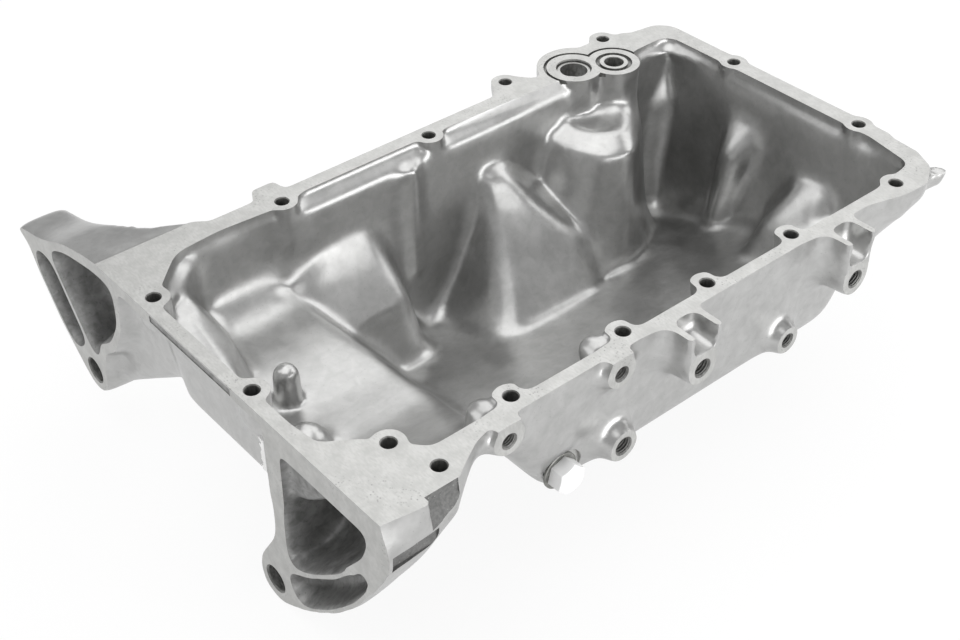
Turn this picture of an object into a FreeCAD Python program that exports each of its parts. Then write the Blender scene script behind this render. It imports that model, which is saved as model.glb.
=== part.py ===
import FreeCAD, Part
import math
import os

os.makedirs("parts", exist_ok=True)

# Driving dimensions in millimetres. The gasket face is z = 0, the transmission
# face is x = 0 and the crank centre plane is y = 0.
pan_length = 388.0
pan_width = 206.0
sump_depth = 120.0
wall = 4.5
rail_depth = 14.0
front_skin = 5.5
bolt_hole = 7.0
bolt_boss = 16.4
ear_hole = 14.0
ear_boss = 27.0
ear_skin = 6.5
small_tap = 6.8
large_tap = 8.5
small_boss = 18.6
large_boss = 21.5
tap_depth = 16.0
drain_thread = 13.0
drain_head_flats = 15.0
drain_head_height = 8.0
drain_boss = 23.0
washer_outer = 20.0
washer_thickness = 1.6
port_large = 16.1
port_small = 11.2
port_depth = 30.0
floor_slope = 0.26

stretch_x = pan_length / 388.0
stretch_y = pan_width / 206.0
stretch_z = sump_depth / 120.0


def at(x, y, z):
    """Point of the nominal layout, carried along when an overall size changes."""
    return FreeCAD.Vector(x * stretch_x, y * stretch_y, z * stretch_z)


def in_plan(corners, z):
    return [(at(x, y, z), radius) for x, y, radius in corners]


def in_cross(corners, x):
    return [(at(x, y, z), radius) for y, z, radius in corners]


def in_side(corners, y):
    return [(at(x, y, z), radius) for x, z, radius in corners]


def rounded(corners):
    """Closed wire through the corners, each one rounded by its own radius."""
    count = len(corners)
    ends = []
    for index in range(count):
        corner, radius = corners[index]
        back = corners[index - 1][0] - corner
        ahead = corners[(index + 1) % count][0] - corner
        half = back.getAngle(ahead) / 2.0
        if radius <= 0.0 or half > math.radians(89.95):
            ends.append((corner, None, corner))
            continue
        reach = min(radius / math.tan(half), 0.48 * back.Length, 0.48 * ahead.Length)
        radius = reach * math.tan(half)
        back.normalize()
        ahead.normalize()
        middle_way = back + ahead
        middle_way.normalize()
        middle = corner + middle_way * (radius / math.sin(half) - radius)
        ends.append((corner + back * reach, middle, corner + ahead * reach))
    edges = []
    for index in range(count):
        first, middle, last = ends[index]
        if middle is not None:
            edges.append(Part.Arc(first, middle, last).toShape())
        start = ends[(index + 1) % count][0]
        if last.distanceToPoint(start) > 0.0001:
            edges.append(Part.makeLine(last, start))
    return Part.Wire(edges)


def pushed(corners, x, y, z):
    """Solid swept from a rounded outline along one vector."""
    return Part.Face(rounded(corners)).extrude(at(x, y, z))


def skinned(levels):
    """Solid through rounded plan outlines given as (height, corners)."""
    wires = [rounded(in_plan(corners, z)) for z, corners in levels]
    return Part.makeLoft(wires, True, True)


def ribbed(stations):
    """Solid through rounded cross outlines given as (distance along x, corners)."""
    wires = [rounded(in_cross(corners, x)) for x, corners in stations]
    return Part.makeLoft(wires, True, True)


def block(x_low, x_high, y_low, y_high, z_low, z_high):
    low = at(x_low, y_low, z_low)
    high = at(x_high, y_high, z_high)
    size = high - low
    return Part.makeBox(size.x, size.y, size.z, low)


def post(x, y, z_top, z_bottom, diameter, lower_diameter=None):
    """Upright round post between two heights, tapering when a second size is given."""
    top = at(x, y, z_top)
    bottom = at(x, y, z_bottom)
    tall = top.z - bottom.z
    if lower_diameter is None:
        return Part.makeCylinder(diameter / 2.0, tall, bottom)
    return Part.makeCone(lower_diameter / 2.0, diameter / 2.0, tall, bottom)


def rod(start, axis, length, diameter):
    return Part.makeCylinder(diameter / 2.0, length, start, axis)


def grown(corners, distance):
    """Convex outline of (a, b, radius) moved outwards by a distance."""
    count = len(corners)
    area = 0.0
    for index in range(count):
        here = corners[index]
        after = corners[(index + 1) % count]
        area += here[0] * after[1] - after[0] * here[1]
    turn = 1.0 if area > 0.0 else -1.0
    result = []
    for index in range(count):
        before = corners[index - 1]
        here = corners[index]
        after = corners[(index + 1) % count]
        normals = []
        for first, last in ((before, here), (here, after)):
            da = last[0] - first[0]
            db = last[1] - first[1]
            span = math.hypot(da, db)
            normals.append((turn * db / span, -turn * da / span))
        (na, nb), (ma, mb) = normals
        scale = distance / (1.0 + na * ma + nb * mb)
        result.append((here[0] + (na + ma) * scale, here[1] + (nb + mb) * scale, here[2] + distance))
    return result


def joined(shapes):
    result = shapes[0]
    if len(shapes) > 1:
        result = result.fuse(shapes[1:])
    return result


def boss_patch(x, y, diameter, blend, edge_y, inward):
    """Plan outline of a boss that swells out of a straight rail edge with soft blends."""
    radius = diameter / 2.0
    rise = (edge_y - y) * inward
    far = math.sqrt(max((radius + blend) ** 2 - (blend - rise) ** 2, 1.0))
    share = radius / (radius + blend)
    touch_x = far * share
    touch_y = (blend - rise) * share
    left_foot = FreeCAD.Vector(x - far, edge_y, 0)
    right_foot = FreeCAD.Vector(x + far, edge_y, 0)
    left_touch = FreeCAD.Vector(x - touch_x, y + inward * touch_y, 0)
    right_touch = FreeCAD.Vector(x + touch_x, y + inward * touch_y, 0)
    crown = FreeCAD.Vector(x, y + inward * radius, 0)
    left_centre = FreeCAD.Vector(x - far, edge_y + inward * blend, 0)
    right_centre = FreeCAD.Vector(x + far, edge_y + inward * blend, 0)
    left_way = (left_foot - left_centre) + (left_touch - left_centre)
    right_way = (right_foot - right_centre) + (right_touch - right_centre)
    left_way.normalize()
    right_way.normalize()
    left_mid = left_centre + left_way * blend
    right_mid = right_centre + right_way * blend
    back_left = FreeCAD.Vector(x - far, edge_y - inward * 3.0, 0)
    back_right = FreeCAD.Vector(x + far, edge_y - inward * 3.0, 0)
    edges = [
        Part.Arc(left_foot, left_mid, left_touch).toShape(),
        Part.Arc(left_touch, crown, right_touch).toShape(),
        Part.Arc(right_touch, right_mid, right_foot).toShape(),
        Part.makeLine(right_foot, back_right),
        Part.makeLine(back_right, back_left),
        Part.makeLine(back_left, left_foot),
    ]
    return Part.Face(Part.Wire(edges))


# Bolt holes through the gasket face: name, x, y and the depth of the boss.
rail_bolts = {
    "front_left": (8.1, 67.2, 17.0),
    "front_right": (6.7, -17.8, 21.0),
    "ear_inner": (31.7, -82.5, 16.0),
    "ear_outer": (39.2, -106.7, 14.0),
    "near_a": (89.7, -93.7, 20.0),
    "near_b": (157.5, -93.7, 20.0),
    "near_c": (213.6, -93.7, 20.0),
    "near_d": (274.2, -93.7, 20.0),
    "near_corner": (350.8, -99.0, 22.0),
    "end_near": (382.6, -49.7, 22.5),
    "end_far": (382.6, 41.7, 21.0),
    "far_corner": (343.9, 111.8, 16.0),
    "far_c": (265.6, 111.2, 16.0),
    "far_b": (196.1, 95.0, 14.0),
    "far_a": (99.2, 94.0, 27.0),
}
near_row = ("near_a", "near_b", "near_c", "near_d")
near_edge = -96.0

# The sunk part of the pan: three outlines that are swept and intersected.
well_plan = [
    (9.5, -56.0, 12.0), (22.0, -74.0, 14.0), (47.0, -97.5, 10.0), (377.5, -97.5, 16.0),
    (377.5, 92.0, 18.0), (48.0, 92.0, 36.0), (9.5, 63.0, 25.0),
]
well_foot = well_plan[:-1] + [(10.5, 48.0, 36.0)]
trough_cross = [
    (-96.5, 2.0, 0.0), (-96.2, -8.0, 4.0), (-74.0, -25.0, 50.0), (-38.0, -43.0, 60.0),
    (0.0, -49.0, 50.0), (87.5, -49.0, 26.0), (91.0, 2.0, 0.0),
]
trough_side = [
    (9.5, 2.0, 0.0), (9.5, -49.0, 9.0), (170.0, -49.0, 0.0), (170.0, 2.0, 0.0),
]
trough_end = 100.0
sump_cross = [
    (-96.5, 2.0, 0.0), (-95.0, -94.0 + 95.0 * floor_slope, 15.5),
    (83.0, -94.0 - 83.0 * floor_slope, 14.0), (86.8, 2.0, 0.0),
]
slope_side = [
    (60.5, 2.0, 0.0), (96.5, -49.0, 0.0), (130.0, -94.0, 24.0), (154.0, -134.0, 0.0),
    (400.0, -134.0, 0.0), (400.0, 2.0, 0.0),
]
slope_skew = 0.07
end_side = [
    (-10.0, 30.0, 0.0), (376.8, 30.0, 0.0), (366.8, -94.2, 13.0), (-10.0, -94.2, 0.0),
]


def sunk_shape(thickness):
    """Inside of the pan for thickness 0, outside of the pan for the wall thickness."""
    def size(corners):
        return grown(corners, thickness) if thickness else corners

    well = skinned([(0.0, size(well_plan)), (-12.0, size(well_plan)), (-46.0, size(well_foot)),
                    (-140.0, size(well_foot))])
    trough = pushed(in_cross(size(trough_cross), -20.0), trough_end + thickness + 20.0, 0, 0)
    trough = trough.common(pushed(in_side(size(trough_side), -140.0), 0, 280, 0))
    sump = pushed(in_cross(size(sump_cross), -20.0), 440, 0, 0)
    shift = 140.0 * slope_skew
    skewed = [(x + shift, z, radius) for x, z, radius in size(slope_side)]
    slope = pushed(in_side(skewed, -140.0), -280.0 * slope_skew, 280, 0)
    shift = 140.0 * floor_slope
    tilted = [(x, z + shift, radius) for x, z, radius in size(end_side)]
    end = pushed(in_side(tilted, -140.0), 0, 280, -280.0 * floor_slope)
    sump = sump.common(slope).common(end)
    return trough.fuse(sump).common(well)


# Opening of the gasket face and the sloped shoulder under it:
# x, y at the face, then x, y at the foot of the shoulder, then the radius.
opening = [
    (7.0, -46.0, 9.5, -46.0, 3.0), (9.0, -63.0, 11.5, -60.0, 6.0), (24.0, -73.0, 24.0, -72.0, 8.0),
    (44.0, -96.0, 46.0, -95.6, 8.0), (340.0, -96.0, 340.0, -95.6, 10.0),
    (371.0, -92.0, 369.0, -90.0, 7.0), (376.7, -62.0, 375.4, -62.0, 5.0),
    (377.0, 46.0, 375.4, 46.0, 20.0),
    (376.7, 89.5, 369.5, 84.5, 9.0), (343.0, 89.5, 343.0, 85.5, 3.0),
    (290.0, 94.5, 290.0, 86.8, 3.0), (113.0, 94.5, 111.0, 87.0, 6.0),
    (101.0, 90.0, 100.0, 88.5, 4.0), (60.0, 92.8, 60.0, 91.4, 60.0), (34.0, 90.5, 35.0, 88.5, 20.0),
    (16.0, 73.0, 18.0, 72.0, 8.0), (7.0, 62.0, 9.5, 61.0, 3.0),
]
lip_depth = 2.2
shoulder_depth = 8.4
face_line = [(a, b, radius) for a, b, c, d, radius in opening]
foot_line = [(c, d, radius) for a, b, c, d, radius in opening]
mouth = skinned([(2.0, face_line), (-lip_depth, face_line)])
shoulder = skinned([(-lip_depth, face_line), (-shoulder_depth, foot_line)])
under_shoulder = block(-20, 420, -140, 140, -140, -shoulder_depth + 0.4)
cavity = joined([mouth, shoulder, sunk_shape(0.0).common(under_shoulder)])

# Rail that carries the gasket face.
rail_outline = [
    (0.0, -117.5, 0.5), (22.0, -121.5, 1.5), (38.0, -119.2, 1.5), (44.0, -114.5, 5.0),
    (60.0, -106.0, 8.0), (70.0, -103.0, 8.0), (323.0, -102.6, 40.0), (346.0, -109.2, 20.0),
    (363.0, -110.0, 10.0), (377.0, -101.5, 8.0), (384.0, -88.0, 5.0), (385.3, -72.0, 4.0),
    (387.6, -66.0, 4.0), (387.6, 96.0, 12.0), (380.0, 104.0, 9.0), (362.0, 106.5, 8.0),
    (350.0, 112.0, 4.0), (330.0, 113.2, 3.0), (313.0, 113.0, 0.0), (289.0, 103.6, 5.0),
    (281.0, 103.6, 6.0), (272.0, 115.0, 1.0), (259.5, 115.0, 2.0), (250.0, 103.2, 5.0),
    (107.0, 102.8, 1.0), (106.0, 112.0, 1.5), (92.5, 112.0, 1.5), (88.0, 103.0, 1.5),
    (64.0, 103.0, 2.0), (40.0, 106.0, 2.0), (0.0, 106.0, 0.0),
]
rail = pushed(in_plan(rail_outline, 0.0), 0, 0, -rail_depth)
rail = rail.cut(block(-1, 12, -34.5, 90, -20, -front_skin))
rail = rail.cut(block(-1, 46, 89, 110, -20, -front_skin))
pieces = [rail]
front_relief = block(-5, 1.6, -34, 100, -60, -front_skin)
for name, (x, y, depth) in rail_bolts.items():
    if name in near_row:
        patch = boss_patch(x * stretch_x, y * stretch_y, bolt_boss, 6.0, near_edge * stretch_y, 1.0)
        pieces.append(patch.extrude(at(0, 0, -depth)))
    else:
        pieces.append(post(x, y, 0, -depth, bolt_boss).cut(front_relief))
outer_posts = ("far_c", "far_corner", "ear_outer")

# Ports to the block: two joined round faces on columns.
port_a = (306.7, 97.5)
port_b = (329.4, 87.5)
port_bulge = post(308.4, 97.5, 0, -rail_depth, 46.0)
pieces.append(port_bulge)
port_columns = joined([
    post(port_a[0], port_a[1], 0, -15, 32.0),
    post(port_a[0], port_a[1], -15, -27, 32.0, 22.0),
    post(port_b[0], port_b[1], 0, -40, 30.6),
])

# Outer skin of the sunk part.
body = sunk_shape(wall).common(block(-20, 420, -140, 140, -140, -4))
pieces.append(body)

# Far ear towards the transmission: sloped top skin over a block with two pockets.
far_ear_plan = [
    (0.0, 60.0, 0.0), (0.0, 201.5, 3.0), (28.5, 201.5, 4.0), (28.5, 150.0, 20.0),
    (36.0, 121.0, 22.0), (66.0, 102.9, 40.0), (66.0, 60.0, 0.0),
]
far_skin_cross = [
    (60.0, 0.0, 0.0), (112.0, 0.0, 70.0), (148.0, -8.5, 90.0), (174.0, -19.5, 90.0),
    (204.0, -25.5, 0.0), (204.0, -25.5 - ear_skin, 0.0), (173.0, -19.5 - ear_skin, 84.0),
    (146.0, -8.5 - ear_skin, 84.0), (110.0, -ear_skin, 64.0), (60.0, -ear_skin, 0.0),
]
far_ear_skin = pushed(in_plan(far_ear_plan, 0.0), 0, 0, -40)
far_ear_skin = far_ear_skin.common(pushed(in_cross(far_skin_cross, 0.0), 80, 0, 0))
far_ear_hole = (135.7, -85.5)
far_ear_cross = [
    (89.0, -2.0, 0.0), (112.0, -2.0, 60.0), (147.0, -11.0, 60.0), (172.0, -21.5, 60.0),
    (201.0, -26.5, 2.0),
    (200.0, -30.0, 2.0), (191.0, -32.5, 5.0), (186.0, -46.0, 25.0), (168.0, -73.0, 60.0),
    (145.0, -96.0, 8.0), (128.0, -90.0, 8.0), (121.8, -78.0, 5.0), (117.0, -63.0, 8.0),
    (105.0, -56.0, 20.0), (91.0, -32.0, 20.0),
]
far_pocket = [
    (95.5, -7.5, 5.0), (112.0, -7.5, 50.0), (145.0, -15.0, 50.0), (163.5, -23.5, 3.0),
    (131.0, -73.0, 3.0),
    (127.0, -69.0, 4.0), (123.0, -57.5, 5.0), (110.0, -50.0, 16.0), (97.0, -30.0, 14.0),
]
far_slot = [
    (165.5, -30.5, 2.0), (184.0, -31.5, 5.0), (181.0, -46.0, 25.0), (164.0, -70.0, 50.0),
    (153.5, -81.0, 5.0), (140.5, -69.0, 3.0),
]
ear_length = 28.5
pocket_length = 24.0
far_ear = pushed(in_cross(far_ear_cross, 0.0), ear_length, 0, 0)
far_ear = far_ear.fuse(rod(at(0, far_ear_hole[0], far_ear_hole[1]), FreeCAD.Vector(1, 0, 0),
                           ear_length * stretch_x, ear_boss + 1.0))
far_pockets = [
    pushed(in_cross(far_pocket, -1.0), pocket_length + 1.0, 0, 0),
    pushed(in_cross(far_slot, -1.0), pocket_length + 1.0, 0, 0),
]
gusset_cross = [
    (30.0, -3.0, 0.0), (112.0, -3.0, 0.0), (128.0, -70.0, 4.0), (130.0, -88.0, 4.0),
    (64.0, -46.0, 4.0), (30.0, -40.0, 4.0),
]
gusset = pushed(in_cross(gusset_cross, 10.0), 5.0, 0, 0)
bar_start = at(14.0, 130.0, -89.0)
bar_end = at(20.0, 56.0, -40.0)
bar = rod(bar_start, bar_end - bar_start, (bar_end - bar_start).Length, 15.0)

# Near ear towards the transmission: a scoop with an open pocket and a curved slot.
near_ear_hole = (-29.4, -107.5)
near_ear_cross = [
    (-34.5, 0.0, 0.0), (-117.5, 0.0, 0.5), (-122.8, -13.5, 3.0), (-124.0, -22.0, 10.0),
    (-118.0, -34.0, 30.0), (-99.0, -67.0, 90.0), (-80.0, -89.0, 90.0), (-55.0, -110.0, 60.0),
    (-34.0, -122.5, 8.0), (-17.0, -121.0, 8.0), (-17.0, -99.5, 3.0), (-34.5, -73.0, 30.0),
]
near_pocket = [
    (-46.5, -front_skin, 4.0), (-106.0, -front_skin, 4.0), (-108.0, -20.0, 12.0),
    (-103.5, -31.5, 14.0), (-84.0, -56.5, 60.0), (-62.0, -75.5, 40.0), (-44.0, -86.5, 3.0),
]
near_slot = [
    (-102.6, -39.8, 1.2), (-108.2, -44.0, 1.5), (-94.6, -66.0, 70.0), (-78.0, -85.5, 70.0),
    (-60.0, -101.5, 50.0), (-48.0, -109.0, 3.0), (-41.3, -92.8, 1.2), (-59.0, -83.0, 60.0),
    (-83.0, -63.0, 70.0),
]
near_ear_stations = [
    (0.0, near_ear_cross),
    (22.0, [(-34.5, 0.0, 0.0), (-121.5, 0.0, 0.5), (-122.5, -12.5, 3.0), (-123.2, -20.0, 10.0),
            (-116.0, -35.0, 30.0), (-97.5, -65.0, 80.0), (-79.0, -85.5, 80.0), (-55.0, -102.0, 60.0),
            (-37.0, -110.0, 6.0), (-22.0, -103.0, 6.0), (-20.0, -94.0, 3.0), (-34.5, -68.0, 30.0)]),
    (40.0, [(-34.5, 0.0, 0.0), (-118.0, 0.0, 0.5), (-119.4, -10.0, 3.0), (-120.0, -15.0, 8.0),
            (-112.0, -29.0, 24.0), (-94.0, -50.0, 60.0), (-77.0, -64.0, 60.0), (-55.0, -76.0, 50.0),
            (-39.0, -82.0, 6.0), (-29.0, -78.0, 6.0), (-27.0, -71.0, 3.0), (-34.5, -54.0, 20.0)]),
    (62.0, [(-34.5, 0.0, 0.0), (-104.0, 0.0, 0.5), (-104.6, -3.0, 1.0), (-104.4, -5.0, 1.0),
            (-99.0, -8.0, 3.0), (-90.0, -14.0, 10.0), (-77.0, -24.0, 20.0), (-55.0, -34.0, 20.0),
            (-43.0, -38.0, 3.0), (-38.5, -37.0, 2.0), (-37.0, -34.0, 1.5), (-34.5, -27.0, 3.0)]),
]
near_pocket_stations = [
    (-1.0, near_pocket),
    (22.0, [(-46.5, -front_skin, 4.0), (-105.5, -front_skin, 4.0), (-107.5, -19.0, 12.0),
            (-102.0, -31.0, 14.0), (-83.0, -55.0, 60.0), (-62.0, -73.0, 40.0), (-45.0, -83.0, 3.0)]),
    (37.0, [(-46.5, -front_skin, 4.0), (-103.5, -front_skin, 3.0), (-106.0, -12.0, 6.0),
            (-100.0, -25.0, 14.0), (-82.0, -46.0, 40.0), (-62.0, -60.0, 40.0), (-46.5, -68.0, 3.0)]),
    (52.0, [(-46.5, -front_skin, 1.0), (-96.0, -front_skin, 0.5), (-98.0, -7.0, 0.8),
            (-93.0, -11.0, 3.0), (-80.0, -19.0, 10.0), (-62.0, -27.0, 10.0), (-46.5, -33.0, 3.0)]),
]
near_slot_stations = [
    (-1.0, near_slot),
    (16.0, [(-102.6, -41.0, 2.0), (-106.5, -43.0, 2.0), (-93.5, -63.5, 50.0), (-77.0, -81.5, 50.0),
            (-60.0, -97.5, 40.0), (-49.0, -104.0, 3.0), (-43.0, -95.0, 2.0), (-59.0, -84.0, 50.0),
            (-83.0, -64.5, 50.0)]),
]
near_ear = ribbed(near_ear_stations)
near_ear = near_ear.fuse(rod(at(0, near_ear_hole[0], near_ear_hole[1]), FreeCAD.Vector(1, 0, 0),
                             22.0 * stretch_x, ear_boss))
upper_notch = [(-117.0, 1.0, 0.0), (-134.0, 1.0, 0.0), (-134.0, -34.0, 0.0), (-117.0, -5.5, 0.0)]
notch_start = 23.0
notch_length = 17.5
near_ear = near_ear.cut([
    ribbed(near_pocket_stations),
    ribbed(near_slot_stations),
    block(2, 26, -130, -121.4, -24.5, -16.5),
])
pieces.append(near_ear)

# Threaded bosses on the near side: x, z, boss face, boss diameter, thread hole.
side_bosses = {
    "upper_a": (77.0, -9.4, -107.5, small_boss, small_tap),
    "upper_b": (144.2, -9.4, -107.5, small_boss, small_tap),
    "arm_a": (186.2, -21.8, -119.0, large_boss, large_tap),
    "lower_a": (148.6, -56.3, -108.0, large_boss - 0.5, large_tap),
    "lower_b": (266.2, -55.3, -107.5, small_boss + 0.6, small_tap),
    "arm_b": (298.6, -25.4, -119.0, large_boss, large_tap),
}
to_near = FreeCAD.Vector(0, -1, 0)
taps = []
for name, (x, z, face, boss_size, tap) in side_bosses.items():
    root = at(x, -90.0, z)
    face_y = face * stretch_y
    length = root.y - face_y
    pieces.append(rod(root, to_near, length, boss_size))
    mouth_point = FreeCAD.Vector(root.x, face_y, root.z)
    inwards = FreeCAD.Vector(0, 1, 0)
    taps.append(rod(mouth_point, inwards, tap_depth, tap))
    taps.append(Part.makeCone(tap / 2.0 + 0.9, tap / 2.0, 0.9, mouth_point, inwards))
    taps.append(Part.makeCone(tap / 2.0, 0.2, tap * 0.3, mouth_point + inwards * tap_depth, inwards))
    half = boss_size / 2.0 / stretch_x
    if name.startswith("upper"):
        pieces.append(block(x - 6.8, x + 6.8, face, -95.0, z, 0.0))
    if name.startswith("arm"):
        arm_plan = [
            (x - half - 14.0, -99.0, 0.0), (x - half - 14.0, -103.0, 0.0),
            (x - half, -104.5, 12.0), (x - half, face, 1.0), (x + half, face, 1.0),
            (x + half, -99.0, 0.0),
        ]
        arm = pushed(in_plan(arm_plan, 0.0), 0, 0, z)
        channel_plan = [
            (x - half + 3.4, -125.0, 0.0), (x + half - 3.4, -125.0, 0.0),
            (x + half - 3.4, -104.0, 4.5), (x - half + 3.4, -104.0, 4.5),
        ]
        channel_floor = z + half * 0.62
        arm = arm.cut(pushed(in_plan(channel_plan, 1.0), 0, 0, channel_floor - 1.0))
        pieces.append(arm)
blind_domes = []
for name in ("upper_a", "upper_b"):
    x, z, face, boss_size, tap = side_bosses[name]
    dome = Part.makeSphere(boss_size / 2.0, at(x + 1.5, -88.5, z - 1.5))
    blind_domes.append(dome.fuse(rod(at(x + 1.5, -88.5, z - 1.5), to_near, 10.0, boss_size)))

# Raised corner of the sump over the drain, flush with the rail band.
corner_side = [
    (58.0, -13.0, 0.0), (86.0, -19.5, 6.0), (112.0, -46.5, 9.0), (124.5, -44.0, 5.0),
    (128.0, -13.0, 0.0),
]
pieces.append(pushed(in_side(corner_side, -96.0), 0, -7.0, 0))

# Small cast lug on the end corner.
lug_plan = [
    (368.0, -94.0, 0.0), (374.0, -104.0, 1.0), (384.0, -107.5, 2.0), (388.6, -104.8, 2.0),
    (386.5, -99.5, 2.0), (379.0, -95.0, 0.0),
]
lug = pushed(in_plan(lug_plan, -4.0), 0, 0, -11.0)
lug = lug.cut(pushed(in_plan([
    (378.8, -102.6, 1.0), (384.6, -104.6, 1.0), (385.4, -102.4, 1.0), (379.8, -100.3, 1.0),
], -3.0), 0, 0, -6.0))
pieces.append(lug)
end_nub = post(357.0, 107.5, -1.0, -rail_depth, 7.0)
pieces.append(end_nub)

# Drain boss with its flat face.
drain_x = 118.0
drain_z = -60.6
drain_face = -96.2
drain_spot = FreeCAD.Vector(drain_x * stretch_x, drain_face * stretch_y, drain_z * stretch_z)
pieces.append(rod(drain_spot + FreeCAD.Vector(0, 22.0, 0), to_near, 22.0, drain_boss))
pieces.extend([far_ear_skin, far_ear.cut(far_pockets), gusset, bar])

casting = joined(pieces)
casting = casting.cut(cavity)

# Features inside the sump. Each one is a stack of plan outlines.
tower = skinned([
    (-27.5, [(273.0, 96.0, 4.0), (277.0, 70.0, 9.0), (287.0, 50.0, 12.0), (303.0, 41.5, 10.0),
             (316.0, 50.0, 14.0), (341.0, 74.0, 10.0), (346.0, 96.0, 4.0)]),
    (-75.0, [(264.0, 96.0, 4.0), (268.0, 68.0, 9.0), (276.0, 46.0, 13.0), (300.0, 38.0, 12.0),
             (316.0, 45.0, 14.0), (343.0, 68.0, 10.0), (348.0, 96.0, 4.0)]),
    (-92.0, [(256.0, 96.0, 4.0), (258.0, 64.0, 9.0), (262.0, 40.0, 13.0), (298.0, 36.0, 12.0),
             (316.0, 42.0, 14.0), (344.0, 66.0, 10.0), (348.0, 96.0, 4.0)]),
    (-104.0, [(240.0, 96.0, 4.0), (240.0, 50.0, 9.0), (238.0, 32.0, 13.0), (296.0, 31.0, 12.0),
              (318.0, 38.0, 14.0), (346.0, 60.0, 10.0), (351.0, 96.0, 4.0)]),
    (-124.0, [(232.0, 96.0, 4.0), (232.0, 40.0, 9.0), (232.0, 24.0, 13.0), (296.0, 22.0, 12.0),
              (322.0, 32.0, 14.0), (350.0, 54.0, 10.0), (356.0, 96.0, 4.0)]),
])
tower_step = skinned([
    (-22.5, [(284.0, 96.0, 3.0), (286.5, 76.0, 6.0), (294.0, 60.0, 8.0), (306.0, 52.0, 7.0),
             (318.0, 60.0, 8.0), (336.0, 76.0, 6.0), (340.0, 96.0, 3.0)]),
    (-30.0, [(282.0, 96.0, 3.0), (285.0, 75.0, 6.0), (293.0, 58.0, 8.0), (306.0, 49.5, 7.0),
             (320.0, 58.0, 8.0), (338.0, 75.0, 6.0), (342.0, 96.0, 3.0)]),
])
tower_dish = skinned([
    (-20.0, [(290.0, 88.0, 3.0), (292.0, 74.0, 5.0), (299.0, 63.0, 6.0), (308.0, 61.0, 4.0),
             (316.0, 76.0, 3.0), (306.0, 86.0, 3.0)]),
    (-26.0, [(291.0, 87.0, 3.0), (293.0, 75.0, 5.0), (300.0, 65.0, 6.0), (307.5, 63.0, 4.0),
             (314.5, 76.0, 3.0), (306.0, 85.0, 3.0)]),
])
lobe = skinned([
    (-31.0, [(222.0, 96.0, 4.0), (223.0, 79.0, 7.0), (236.0, 76.0, 7.0), (246.0, 96.0, 4.0)]),
    (-50.0, [(220.0, 96.0, 4.0), (221.0, 70.0, 8.0), (248.0, 65.0, 9.0), (268.0, 96.0, 4.0)]),
    (-62.0, [(217.0, 96.0, 4.0), (217.0, 60.0, 9.0), (258.0, 56.0, 10.0), (286.0, 96.0, 4.0)]),
    (-74.0, [(212.0, 96.0, 4.0), (211.0, 50.0, 10.0), (270.0, 46.0, 12.0), (300.0, 96.0, 4.0)]),
    (-92.0, [(203.0, 96.0, 4.0), (200.0, 33.0, 12.0), (268.0, 31.0, 12.0), (300.0, 96.0, 4.0)]),
    (-104.0, [(194.0, 96.0, 4.0), (189.0, 22.0, 12.0), (264.0, 22.0, 14.0), (300.0, 96.0, 4.0)]),
    (-124.0, [(182.0, 96.0, 4.0), (174.0, 8.0, 12.0), (260.0, 8.0, 14.0), (300.0, 96.0, 4.0)]),
])
ramp = skinned([
    (-32.0, [(112.0, 96.0, 3.0), (114.0, 84.0, 3.0), (146.0, 84.0, 3.0), (150.0, 96.0, 3.0)]),
    (-48.0, [(88.0, 96.0, 3.0), (92.0, 76.0, 8.0), (150.0, 74.0, 9.0), (158.0, 96.0, 3.0)]),
    (-70.0, [(84.0, 96.0, 3.0), (84.0, 57.0, 10.0), (154.0, 56.0, 12.0), (165.0, 96.0, 3.0)]),
    (-100.0, [(84.0, 96.0, 3.0), (84.0, 52.0, 10.0), (158.0, 51.0, 12.0), (170.0, 96.0, 3.0)]),
    (-108.0, [(84.0, 96.0, 3.0), (84.0, 46.0, 10.0), (164.0, 44.0, 14.0), (178.0, 96.0, 3.0)]),
    (-124.0, [(84.0, 96.0, 3.0), (84.0, 36.0, 10.0), (170.0, 34.0, 14.0), (186.0, 96.0, 3.0)]),
])
end_bulge = skinned([
    (-42.0, [(384.0, -52.0, 4.0), (364.0, -46.0, 5.0), (364.0, -28.0, 5.0), (384.0, -22.0, 4.0)]),
    (-56.0, [(384.0, -60.0, 4.0), (354.0, -50.0, 8.0), (352.0, -24.0, 8.0), (384.0, -14.0, 4.0)]),
    (-66.0, [(384.0, -66.0, 4.0), (348.0, -54.0, 8.0), (346.0, -18.0, 8.0), (384.0, -10.0, 4.0)]),
    (-104.0, [(384.0, -74.0, 4.0), (338.0, -64.0, 8.0), (336.0, -8.0, 9.0), (384.0, 2.0, 4.0)]),
])
corner_block = skinned([
    (-20.0, [(388.0, -104.0, 3.0), (346.0, -104.0, 3.0), (348.0, -99.0, 2.0), (356.0, -97.0, 3.0),
             (372.0, -95.0, 4.0), (388.0, -93.0, 3.0)]),
    (-30.0, [(388.0, -104.0, 3.0), (328.0, -104.0, 3.0), (330.0, -92.0, 4.0), (342.0, -87.0, 6.0),
             (370.0, -84.0, 6.0), (388.0, -82.0, 3.0)]),
    (-44.0, [(388.0, -104.0, 3.0), (314.0, -104.0, 3.0), (316.0, -84.0, 6.0), (332.0, -77.0, 8.0),
             (366.0, -69.0, 8.0), (388.0, -67.0, 3.0)]),
    (-60.0, [(388.0, -104.0, 3.0), (305.0, -104.0, 3.0), (307.0, -78.0, 6.0), (332.0, -62.0, 10.0),
             (356.0, -49.0, 8.0), (388.0, -45.0, 3.0)]),
    (-74.0, [(388.0, -104.0, 3.0), (300.0, -104.0, 3.0), (302.0, -75.0, 6.0), (330.0, -52.0, 12.0),
             (348.0, -30.0, 8.0), (388.0, -22.0, 3.0)]),
    (-104.0, [(388.0, -104.0, 3.0), (296.0, -104.0, 3.0), (298.0, -72.0, 6.0),
              (326.0, -46.0, 12.0), (338.0, -14.0, 9.0), (388.0, -4.0, 3.0)]),
])
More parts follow.
